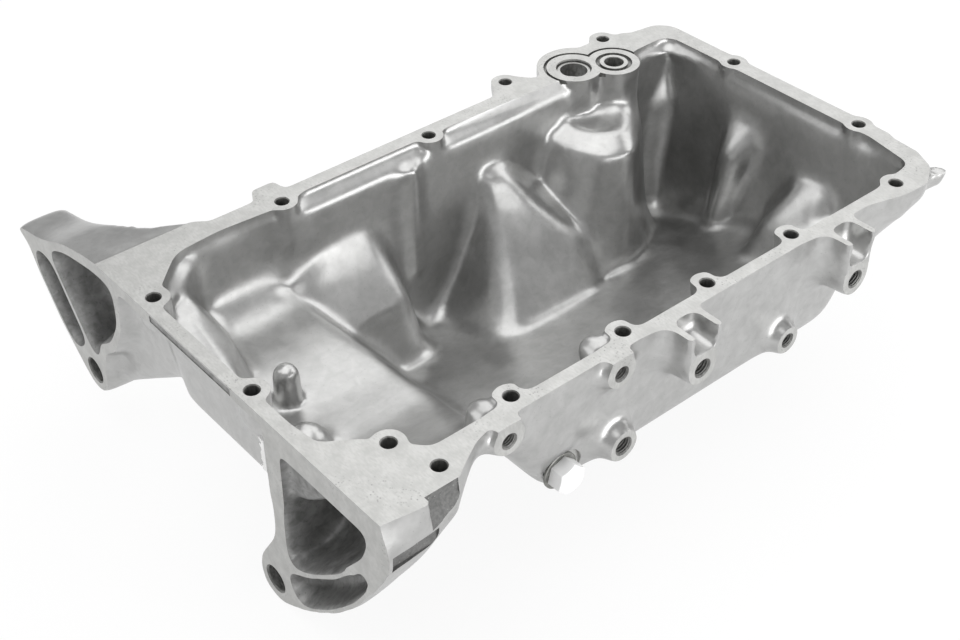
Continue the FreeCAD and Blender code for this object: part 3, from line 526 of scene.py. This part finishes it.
@dataclass
class PanCasting:
    """The die-cast body: softened cast skin and crisp machined features."""

    node: bpy.types.Object
    stock: float = 4.0
    voxel: float = 1.5
    soften_rounds: int = 7
    sump_rounds: int = 120
    stud: tuple[float, float] = (43.2, 14.0)
    stud_reach: float = 9.0
    stud_fade: float = 8.0
    ridge_end: tuple[float, float] = (40.0, 74.0)
    ridge_floor: float = -48.0
    ridge_share: float = 0.15
    sump_top: float = -4.5
    sump_fade: float = 8.0
    sump_floor: tuple[float, float, float] = (210.0, -10.0, -112.0)
    # Seeds on the ear pockets' floors, from which their darker finish of painted shade spreads.
    pocket_floors: tuple[tuple[float, float, float], ...] = (
        (24.0, 128.0, -44.0), (24.0, 168.0, -48.0), (30.0, -80.0, -30.0), (15.0, -78.0, -74.0))
    kept_share: float = 0.4
    crisp_angle: float = 42.0
    hole_diameter: float = 7.0
    hole_chamfer: float = 0.5
    ear_hole_diameter: float = 14.0
    ear_hole_depth: float = 42.0
    ear_hole_chamfer: float = 0.8
    ear_holes: tuple[tuple[float, float], ...] = ((135.7, -85.5), (-29.4, -107.5))
    tap_depth: float = 16.0
    port_depth: float = 30.0
    groove_width: float = 1.8
    groove_depth: float = 2.2
    drain_spot: tuple[float, float, float] = DRAIN_SPOT
    drain_face_diameter: float = 25.0
    holes: dict[str, RailHole] = field(default_factory=lambda: {
        "front_left": RailHole(8.1, 67.2, 13.0),
        "front_right": RailHole(6.7, -17.8, 17.0),
        "ear_inner": RailHole(31.7, -82.5, 12.0),
        "ear_outer": RailHole(39.2, -106.7, 20.0),
        "near_a": RailHole(89.7, -93.7, 16.0),
        "near_b": RailHole(157.5, -93.7, 16.0),
        "near_c": RailHole(213.6, -93.7, 16.0),
        "near_d": RailHole(274.2, -93.7, 16.0),
        "near_corner": RailHole(350.8, -99.0, 18.0),
        "end_near": RailHole(382.6, -49.7, 18.5),
        "end_far": RailHole(382.6, 41.7, 17.0),
        "far_corner": RailHole(343.9, 111.8, 22.0),
        "far_c": RailHole(265.6, 111.2, 22.0),
        "far_b": RailHole(196.1, 95.0, 10.0),
        "far_a": RailHole(99.2, 94.0, 23.0),
    })
    bosses: dict[str, SideBoss] = field(default_factory=lambda: {
        "upper_a": SideBoss(77.0, -9.4, -107.5, 18.6, Thread.M8, True),
        "upper_b": SideBoss(144.2, -9.4, -107.5, 18.6, Thread.M8, True),
        "arm_a": SideBoss(186.2, -21.8, -119.0, 21.5, Thread.M10, True),
        "lower_a": SideBoss(148.6, -56.3, -108.0, 21.0, Thread.M10, False),
        "lower_b": SideBoss(266.2, -55.3, -107.5, 19.2, Thread.M8, False),
        "arm_b": SideBoss(298.6, -25.4, -119.0, 21.5, Thread.M10, True),
    })
    ports: tuple[OilPort, ...] = (OilPort(306.7, 97.5, 16.1, 32.0),
                                  OilPort(329.4, 87.5, 11.2, 30.6))

    def with_stock(self) -> bpy.types.Object:
        """Copies the solid's mesh, closed up, with stock on each face that is machined."""
        mesh = self.node.data.copy()
        shape = bmesh.new()
        shape.from_mesh(mesh)
        weld, near = 2e-6, 2e-5
        past_groove, below_groove, past_boss = 0.2, 0.3, 0.3
        bmesh.ops.remove_doubles(shape, verts=shape.verts, dist=weld)
        for vert in shape.verts:
            if abs(vert.co.z) < near:
                vert.co.z = self.stock * MM
            if abs(vert.co.x) < near:
                vert.co.x = -self.stock * MM
            for port in self.ports:
                reach = math.hypot(vert.co.x - port.x * MM, vert.co.y - port.y * MM)
                land = (port.land_diameter / 2 + self.groove_width + past_groove) * MM
                if vert.co.z > -(self.groove_depth + below_groove) * MM and reach < land:
                    vert.co.z = self.stock * MM
            for boss in self.bosses.values():
                reach = math.hypot(vert.co.x - boss.x * MM, vert.co.z - boss.z * MM)
                rim = (boss.diameter / 2 + past_boss) * MM
                if abs(vert.co.y - boss.face * MM) < near and reach < rim:
                    vert.co.y -= self.stock * MM
        shape.to_mesh(mesh)
        shape.free()
        mesh.materials.clear()
        return link(mesh, "casting_stock")

    def cutters(self) -> list[tuple[bmesh.types.BMesh, Surface]]:
        """Shapes that the machine tools remove, each with the finish it leaves."""
        above_gasket_face = slab((-60, -260, 0), (460, 320, 40))
        ahead_of_end_face = slab((-40, -260, -180), (0, 320, 60))
        cuts = [(above_gasket_face, Surface.MACHINED), (ahead_of_end_face, Surface.MACHINED)]
        radius = self.hole_diameter / 2.0
        for hole in self.holes.values():
            mouth = Vector((hole.x, hole.y, 0.0)) * MM
            cuts.append((self.bore(mouth, DOWN, radius, hole.depth, self.hole_chamfer),
                         Surface.BORE))
        for y, z in self.ear_holes:
            mouth = Vector((0.0, y, z)) * MM
            hole = self.bore(mouth, INTO_FRONT, self.ear_hole_diameter / 2, self.ear_hole_depth,
                             self.ear_hole_chamfer)
            cuts.append((hole, Surface.BORE))
        for boss in self.bosses.values():
            cuts += self.boss_cuts(boss)
        cuts += self.port_cuts()
        cuts += self.recess_cuts()
        x, y, z = self.drain_spot
        drain_mouth = Vector((x, y, z)) * MM
        clear = 9.0
        face = [(-clear, 0.0), (-clear, self.drain_face_diameter / 2),
                (0.0, self.drain_face_diameter / 2), (0.0, 0.0)]
        cuts.append((turned(face, drain_mouth, INTO_SIDE), Surface.MACHINED))
        return cuts

    def bore(self, mouth: Vector, direction: Vector, radius: float, depth: float,
             chamfer: float) -> bmesh.types.BMesh:
        """A drilled hole with a chamfered mouth and a drill point."""
        lead, flare, drill_point = 1.0, 0.1, radius * 0.5
        profile = [(-lead, 0.0), (-lead, radius + chamfer + flare), (0.0, radius + chamfer),
                   (chamfer, radius), (depth, radius), (depth + drill_point, 0.0)]
        return turned(profile, mouth, direction)

    def boss_cuts(self, boss: SideBoss) -> list[tuple[bmesh.types.BMesh, Surface]]:
        """Faces, drills and taps one side boss."""
        cuts = []
        half = boss.diameter / 2.0
        mouth = Vector((boss.x, boss.face, boss.z)) * MM
        margin, clear = 4.0, 16.0
        spread = margin
        if boss.flush_above:
            spread = 0.5
            arm, skim, top = 14.0, 0.25, 8.0
            low = (boss.x - half - margin, boss.face - arm, boss.z - half - margin)
            high = (boss.x + half + margin, boss.face - skim, top)
            cuts.append((slab(low, high), Surface.OUTSIDE))
        face = [(-clear, 0.0), (-clear, half + spread), (0.0, half + spread), (0.0, 0.0)]
        cuts.append((turned(face, mouth, INTO_SIDE, 64), Surface.MACHINED))
        major, drill, _ = boss.thread.value
        lead, flare, sink_edge, sink_depth, drill_point = 1.0, 1.2, 0.35, 0.9, drill * 0.3
        profile = [(-lead, 0.0), (-lead, major / 2 + flare), (0.0, major / 2 + sink_edge),
                   (sink_depth, drill / 2), (self.tap_depth, drill / 2),
                   (self.tap_depth + drill_point, 0.0)]
        cuts.append((turned(profile, mouth, INTO_SIDE), Surface.BORE))
        cuts.append((coil(boss.thread, self.tap_depth, mouth, INTO_SIDE), Surface.BORE))
        return cuts

    def port_cuts(self) -> list[tuple[bmesh.types.BMesh, Surface]]:
        """Bores both oil ports and cuts their seal lands and the groove around them."""
        cuts = []
        large, small = self.ports
        for port in self.ports:
            mouth = Vector((port.x, port.y, 0.0)) * MM
            cuts.append((self.bore(mouth, DOWN, port.diameter / 2, self.port_depth, 0.3),
                         Surface.BORE))
        mouth = Vector((large.x, large.y, 0.0)) * MM
        lead, step_depth = 1.0, 1.6
        step_edge = large.diameter / 2 + 2.4
        step = [(-lead, 0.0), (-lead, step_edge), (step_depth, step_edge), (step_depth, 0.0)]
        cuts.append((turned(step, mouth, DOWN, 64), Surface.MACHINED))
        # A thin ring at the step's outer edge in the darker bored finish: a painted shadow line.
        shadow_ring_top, shadow_ring_floor = 1.0, 2.2
        shadow_ring_in, shadow_ring_out = large.diameter / 2 + 1.5, large.diameter / 2 + 2.5
        corner = [(shadow_ring_top, shadow_ring_in), (shadow_ring_top, shadow_ring_out),
                  (shadow_ring_floor, shadow_ring_out), (shadow_ring_floor, shadow_ring_in)]
        cuts.append((turned(corner, mouth, DOWN, 64), Surface.BORE))
        mouth = Vector((small.x, small.y, 0.0)) * MM
        ring_in, ring_out = small.diameter / 2 + 2.6, small.diameter / 2 + 5.2
        ring = [(-lead, ring_in), (-lead, ring_out), (step_depth, ring_out), (step_depth, ring_in)]
        cuts.append((turned(ring, mouth, DOWN, 64), Surface.BORE))
        cuts.append((self.eight_groove(), Surface.BORE))
        return cuts

    def recess_cuts(self) -> list[tuple[bmesh.types.BMesh, Surface]]:
        """Sharp-edged recesses of the near ear, in a darker finish of painted shade, and the front
        rail's band.
        """
        front, width, inner, outer, above = 23.0, 17.5, -117.0, -134.0, 1.0
        outline = [(front, inner, above), (front, outer, above), (front, outer, -35.5),
                   (front, inner, -6.6)]
        notch = prism(outline, (width, 0.0, 0.0))
        shelf = slab((1.8, -130, -25.0), (26.6, -119.9, -16.0))
        band = slab((-1, -10, -5.0), (0.35, 58, -1.2))
        # The notch and the shelf take the darker recess finish of painted shade; the band, cut 0.35
        # mm deep, takes the darker pocket finish.
        return [(notch, Surface.RECESS), (shelf, Surface.RECESS), (band, Surface.POCKET)]

    def flash(self) -> bmesh.types.BMesh:
        """Ragged sliver that the melt left in the die's joint beside the near ear."""
        cells, free_side, waves_a_metre = 15, -31.5, 900.0
        reach, raggedness, curl = 0.8, 5.0, 1.2
        shape = slab((0.1, -34.0, -34.0), (1.3, -31.4, -15.0))
        bmesh.ops.subdivide_edges(shape, edges=shape.edges, cuts=cells, use_grid_fill=True)
        for vert in shape.verts:
            if vert.co.y > free_side * MM:
                ragged = noise.noise(Vector((0.0, 0.0, vert.co.z * waves_a_metre)))
                vert.co.y += (reach + raggedness * ragged) * MM
                vert.co.x += curl * MM * abs(ragged)
        return shape

    def eight_groove(self) -> bmesh.types.BMesh:
        """The relief groove that follows both ports' lands in a figure of eight."""
        width, depth = self.groove_width, self.groove_depth
        discs = {}
        for label, extra, reach in (("outer", width, depth), ("inner", 0.0, depth + 1.0)):
            for index, port in enumerate(self.ports):
                radius = port.land_diameter / 2 + extra
                profile = [(-3.0 + extra, 0.0), (-3.0 + extra, radius), (reach, radius),
                           (reach, 0.0)]
                disc = turned(profile, Vector((port.x, port.y, 0.0)) * MM, DOWN, 80)
                discs[label, index] = to_piece(disc, f"{label}_{index}")
        body = discs["outer", 0]
        for key, operation in ((("outer", 1), "UNION"), (("inner", 0), "DIFFERENCE"),
                               (("inner", 1), "DIFFERENCE")):
            add_boolean(body, operation, discs[key])
        groove = bmesh.new()
        groove.from_mesh(evaluated(body))
        for piece in discs.values():
            bpy.data.objects.remove(piece)
        return groove

    def build(self) -> bpy.types.Object:
        """Softens the cast stock, machines it and dresses it.

        Returns:
            The finished casting.
        """
        finishes = [OUTSIDE_SKIN.make(), INSIDE_SKIN_PAINTED_SHADE.make(), MILLED_FACE.make(),
                    BORED_WALL_PAINTED_SHADE.make(), RECESS_SKIN_PAINTED_SHADE.make(), POCKET_SKIN_PAINTED_SHADE.make()]
        stock = self.with_stock()
        for finish in finishes:
            stock.data.materials.append(finish)
        remesh = stock.modifiers.new("cast_skin", "REMESH")
        remesh.mode = "VOXEL"
        remesh.voxel_size = self.voxel * MM
        stock.data = evaluated(stock)
        stock.modifiers.clear()
        self.mark_sump(stock)
        for rounds, group in ((self.soften_rounds, ""), (self.sump_rounds, "sump_skin")):
            soften = stock.modifiers.new("soft_corners", "SMOOTH")
            soften.factor = 0.5
            soften.iterations = rounds
            soften.vertex_group = group
        thin = stock.modifiers.new("thinned", "DECIMATE")
        thin.ratio = self.kept_share
        mesh = self.machined(stock, finishes)
        self.part_inside(mesh)
        casting = link(mesh, "pan_casting_visual")
        weigh = casting.modifiers.new("even_shading", "WEIGHTED_NORMAL")
        weigh.keep_sharp = True
        weigh.weight = 60
        casting.data = evaluated(casting)
        casting.modifiers.clear()
        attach(casting, "root")
        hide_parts("pan_casting")
        return casting

    def machined(self, stock: bpy.types.Object,
                 finishes: list[bpy.types.Material]) -> bpy.types.Mesh:
        """Takes every cutter's shape out of the cast stock and joins the flash to it.

        Args:
            stock: the softened casting, which is removed with the tools.
            finishes: the material slots that the casting and its cutters share.

        Returns:
            The machined mesh.
        """
        tools = []
        steps = [(shape, surface, "DIFFERENCE") for shape, surface in self.cutters()]
        steps.append((self.flash(), Surface.OUTSIDE, "UNION"))
        for index, (shape, surface, operation) in enumerate(steps):
            for face in shape.faces:
                face.material_index = surface.value
            tool = to_piece(shape, f"tool_{index}", finishes)
            tools.append(tool)
            add_boolean(stock, operation, tool)
        mesh = evaluated(stock)
        for piece in [stock, *tools]:
            bpy.data.objects.remove(piece)
        return mesh

    def mark_sump(self, stock: bpy.types.Object) -> None:
        """Weights the sump's inner skin below the rail, where the die's corners are widest.

        Args:
            stock: the remeshed casting, which gets a vertex group.
        """
        shape = bmesh.new()
        shape.from_mesh(stock.data)
        top = self.sump_top * MM
        floor = Vector(self.sump_floor) * MM
        low = [vert for vert in shape.verts if vert.normal.z > FACES_UP and vert.co.z < top]
        queue = [min(low, key=lambda vert: (vert.co - floor).length)]
        reached = {queue[0].index}
        weights: dict[float, list[int]] = {}
        while queue:
            vert = queue.pop()
            depth = min((top - vert.co.z) / (self.sump_fade * MM), 1.0)
            x, y = self.stud
            away = math.hypot(vert.co.x / MM - x, vert.co.y / MM - y)
            clear = min(max((away - self.stud_reach) / self.stud_fade, 0.0), 1.0)
            end_x, end_y = self.ridge_end
            in_front = vert.co.x < end_x * MM and vert.co.y < end_y * MM
            if in_front and vert.co.z > self.ridge_floor * MM:
                clear *= self.ridge_share
            weights.setdefault(round(depth * clear, 2), []).append(vert.index)
            for edge in vert.link_edges:
                other = edge.other_vert(vert)
                if other.co.z < top and other.index not in reached:
                    reached.add(other.index)
                    queue.append(other)
        shape.free()
        group = stock.vertex_groups.new(name="sump_skin")
        for weight, indexes in weights.items():
            group.add(indexes, weight, "REPLACE")

    def part_inside(self, mesh: bpy.types.Mesh) -> None:
        """Gives the sump's inner skin and the ear pockets darker finishes of painted shade, and
        marks crisp edges.

        The fill gets past the rail, so the inner finish covers most of the outer skin as well.

        Args:
            mesh: the machined casting.
        """
        shape = bmesh.new()
        shape.from_mesh(mesh)
        self.spread(shape, self.sump_floor, Surface.INSIDE)
        for pocket_floor in self.pocket_floors:
            self.spread(shape, pocket_floor, Surface.POCKET)
        crisp = math.radians(self.crisp_angle)
        for face in shape.faces:
            face.smooth = True
        for edge in shape.edges:
            indexes = {face.material_index for face in edge.link_faces}
            tooled = len(indexes) > 1
            edge.smooth = not (tooled or edge.calc_face_angle(0.0) > crisp)
        shape.to_mesh(mesh)
        shape.free()

    def spread(self, shape: bmesh.types.BMesh, place: tuple[float, float, float],
               surface: Surface) -> None:
        """Gives a finish to the cast skin around a place, as far as the machined faces.

        Args:
            shape: the machined casting.
            place: a point on that skin, in millimetres.
            surface: the finish.
        """
        spot = Vector(place) * MM
        cast = [face for face in shape.faces if face.material_index == Surface.OUTSIDE.value]
        if surface is Surface.INSIDE:
            cast = [face for face in cast if face.normal.z > FACES_UP]
        queue = [min(cast, key=lambda face: (face.calc_center_median() - spot).length)]
        queue[0].material_index = surface.value
        count = 1
        while queue:
            for edge in queue.pop().edges:
                for other in edge.link_faces:
                    if other.material_index == Surface.OUTSIDE.value:
                        other.material_index = surface.value
                        queue.append(other)
                        count += 1
        LOG.info("%s finish: %d faces", surface.name.lower(), count)


@dataclass
class DrainPlug:
    """Hexagon plug and its sealing washer in the drain boss, in millimetres."""

    spot: tuple[float, float, float] = DRAIN_SPOT
    flats: float = 15.0
    head: float = 8.0
    turn: float = 12.0
    crown_drop: float = 1.4
    face_drop: float = 0.05
    face_inset: float = 0.3
    shank: float = 14.0
    shank_end: float = 15.2
    soft_edge: float = 0.35
    washer: float = 1.6
    washer_diameter: float = 20.0
    thread: float = 13.0

    def build(self) -> list[bpy.types.Object]:
        """Builds the plug and the washer."""
        return [self.build_plug(), self.build_washer()]

    def build_plug(self) -> bpy.types.Object:
        """Builds the hexagon, rounds its crown off, joins the shank and softens the edges."""
        x, y, z = self.spot
        seat = Vector((x, y - self.washer, z)) * MM
        plug = to_piece(self.hexagon(seat), "drain_plug_visual")
        half = self.flats / 2.0
        lead, wide, face = 1.0, half * 1.3, self.head - self.face_drop
        crown = to_piece(turned([(-lead, 0.0), (-lead, wide), (self.head - self.crown_drop, wide),
                                 (face, half - self.face_inset), (face, 0.0)],
                                seat, OUT_OF_SIDE, 64), "crown")
        add_boolean(plug, "INTERSECT", crown)
        overlap, slack, tip_inset = 0.2, 0.02, 1.0
        radius = self.thread / 2 - slack
        shank = to_piece(turned([(overlap, 0.0), (overlap, radius), (-self.shank, radius),
                                 (-self.shank_end, self.thread / 2 - tip_inset),
                                 (-self.shank_end, 0.0)], seat, OUT_OF_SIDE), "shank")
        add_boolean(plug, "UNION", shank)
        soft = plug.modifiers.new("soft_edges", "BEVEL")
        soft.width = self.soft_edge * MM
        soft.segments = 2
        soft.limit_method = "ANGLE"
        soft.angle_limit = math.radians(25.0)
        plug.data = evaluated(plug)
        plug.modifiers.clear()
        bpy.data.objects.remove(crown)
        bpy.data.objects.remove(shank)
        # The mesh has an empty first slot by now and its faces use that, so this doesn't show.
        plug.data.materials.append(PLUG_STEEL.make())
        plug.data.shade_smooth()
        plug.data.set_sharp_from_angle(angle=math.radians(24.0))
        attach(plug, "root")
        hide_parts("drain_plug")
        return plug

    def hexagon(self, seat: Vector) -> bmesh.types.BMesh:
        """The plain hexagon head, turned a little as it was left by the spanner."""
        shape = bmesh.new()
        reach = self.flats / math.sqrt(3.0) * MM
        bmesh.ops.create_cone(shape, cap_ends=True, segments=6, radius1=reach, radius2=reach,
                              depth=self.head * MM)
        bmesh.ops.translate(shape, vec=(0, 0, self.head * MM / 2), verts=shape.verts)
        shape.transform(turn_to(OUT_OF_SIDE, seat))
        spin = Matrix.Rotation(math.radians(-self.turn), 4, OUT_OF_SIDE)
        shape.transform(Matrix.Translation(seat) @ spin @ Matrix.Translation(-seat))
        return shape

    def build_washer(self) -> bpy.types.Object:
        """Builds the flat ring with its edges broken."""
        radius, inner = self.washer_diameter / 2.0, self.thread / 2.0 + 0.2
        edge_in, edge_up = radius - 0.4, 0.35
        ring = turned([(0.0, inner), (0.0, edge_in), (edge_up, radius),
                       (self.washer - edge_up, radius), (self.washer, edge_in),
                       (self.washer, inner)], Vector(self.spot) * MM, OUT_OF_SIDE, 64)
        washer = to_piece(ring, "drain_washer_visual", [WASHER_METAL.make()])
        washer.data.shade_smooth()
        washer.data.set_sharp_from_angle(angle=math.radians(30.0))
        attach(washer, "root")
        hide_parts("drain_washer")
        return washer


@dataclass(frozen=True)
class Softbox:
    """One soft lamp: place and aim in metres, sides in metres, power in watts."""

    name: str
    place: tuple[float, float, float]
    aim: tuple[float, float, float]
    size: tuple[float, float]
    power: float


@dataclass
class Studio:
    """Pale floor, soft lamps, a pale world and the camera."""

    floor_height: float
    softboxes: tuple[Softbox, ...] = (
        Softbox("overhead", (0.1, 0.1, 1.5), (0.2, 0.0, 0.0), (2.0, 1.5), 14.0),
        Softbox("back", (1.15, 0.85, 0.95), (0.25, 0.0, -0.05), (1.4, 1.0), 6.0),
        Softbox("left", (-0.8, 0.9, 1.0), (0.15, 0.0, 0.0), (0.9, 1.2), 4.0),
        Softbox("near", (0.3, -1.7, 0.25), (0.2, 0.0, -0.05), (2.6, 0.9), 25.0),
        Softbox("right", (1.4, -0.3, 0.7), (0.2, 0.0, -0.05), (0.9, 1.1), 5.0),
    )
    camera_place: tuple[float, float, float] = (-0.229829, -0.449760, 0.427345)
    forward: tuple[float, float, float] = (0.50385, 0.59377, -0.62735)
    roll: float = -0.13
    lens: float = 55.6

    def build(self) -> None:
        """Builds the floor, lamps, world and camera."""
        shape = bmesh.new()
        bmesh.ops.create_grid(shape, x_segments=1, y_segments=1, size=6.0)
        shape.transform(Matrix.Translation((0.2, 0.0, self.floor_height)))
        floor = to_piece(shape, "floor", [self.paper()])
        floor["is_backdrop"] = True
        for box in self.softboxes:
            lamp = bpy.data.lights.new(box.name, "AREA")
            lamp.shape = "RECTANGLE"
            lamp.size, lamp.size_y = box.size
            lamp.energy = box.power
            stand = bpy.data.objects.new(box.name, lamp)
            stand.location = box.place
            aim = Vector(box.aim) - Vector(box.place)
            stand.rotation_euler = aim.to_track_quat("-Z", "Y").to_euler()
            bpy.context.scene.collection.objects.link(stand)
        self.world()
        self.camera()

    def paper(self) -> bpy.types.Material:
        """Backdrop paper: nearly white to the camera, greyer in reflections, with a soft shadow."""
        material, tree, output = new_material("backdrop_paper")
        fibre = add_node(tree, "ShaderNodeTexNoise", {"Scale": per_size(2.0), "Detail": 2.0})
        bump = add_node(tree, "ShaderNodeBump", {
            "Height": fibre.outputs["Fac"], "Distance": 0.02 * MM})
        matte = add_node(tree, "ShaderNodeBsdfDiffuse", {
            "Color": colour("f4f4f4"), "Normal": bump.outputs["Normal"]})
        mirrored = add_node(tree, "ShaderNodeEmission", {"Color": colour("ffffff"),
                                                         "Strength": 1.0})
        ray = add_node(tree, "ShaderNodeLightPath")
        mirrored_share = add_node(tree, "ShaderNodeMath", {
            0: ray.outputs["Is Glossy Ray"], 1: 0.6}, operation="MULTIPLY")
        share = add_node(tree, "ShaderNodeMath", {
            0: ray.outputs["Is Camera Ray"], 1: 0.9, 2: mirrored_share.outputs[0]},
            operation="MULTIPLY_ADD")
        mix = add_node(tree, "ShaderNodeMixShader", {
            0: share.outputs[0], 1: matte.outputs[0], 2: mirrored.outputs[0]})
        tree.links.new(mix.outputs[0], output.inputs[0])
        return material

    def world(self) -> None:
        """Even pale light from all round."""
        world = bpy.data.worlds.new("studio")
        bpy.context.scene.world = world
        world.use_nodes = True
        tree = world.node_tree
        tree.nodes.clear()
        output = add_node(tree, "ShaderNodeOutputWorld")
        air = add_node(tree, "ShaderNodeBackground", {"Color": colour("ececec"),
                                                      "Strength": 0.6})
        seen = add_node(tree, "ShaderNodeBackground", {"Color": colour("ffffff"),
                                                       "Strength": 1.0})
        ray = add_node(tree, "ShaderNodeLightPath")
        mix = add_node(tree, "ShaderNodeMixShader", {
            0: ray.outputs["Is Camera Ray"], 1: air.outputs[0], 2: seen.outputs[0]})
        tree.links.new(mix.outputs[0], output.inputs[0])

    def camera(self) -> None:
        """Camera at the photograph's angle."""
        data = bpy.data.cameras.new("camera")
        data.lens = self.lens
        data.sensor_width = 36.0
        data.clip_start = 0.01
        eye = bpy.data.objects.new("camera", data)
        aim = Vector(self.forward).normalized()
        turn = aim.to_track_quat("-Z", "Y").to_matrix().to_4x4()
        roll = Matrix.Rotation(math.radians(self.roll), 4, "Z")
        eye.matrix_world = Matrix.Translation(self.camera_place) @ turn @ roll
        bpy.context.scene.collection.objects.link(eye)
        bpy.context.scene.camera = eye
        bpy.context.scene.view_settings.view_transform = "Standard"


def main() -> None:
    """Builds each sub-assembly in order and keeps the size from before, whose lowest point sets the
    floor.
    """
    logging.basicConfig(level=logging.INFO, format="%(message)s")
    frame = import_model()
    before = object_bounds()
    casting = PanCasting(frame["nodes"]["pan_casting"]).build()
    LOG.info("%s: %d triangles", casting.name, len(casting.data.loop_triangles) or
             sum(len(p.vertices) - 2 for p in casting.data.polygons))
    for piece in DrainPlug().build():
        LOG.info("%s: %d faces", piece.name, len(piece.data.polygons))
    low, _ = before
    Studio(floor_height=low[2]).build()


if __name__ == "__main__":
    main()
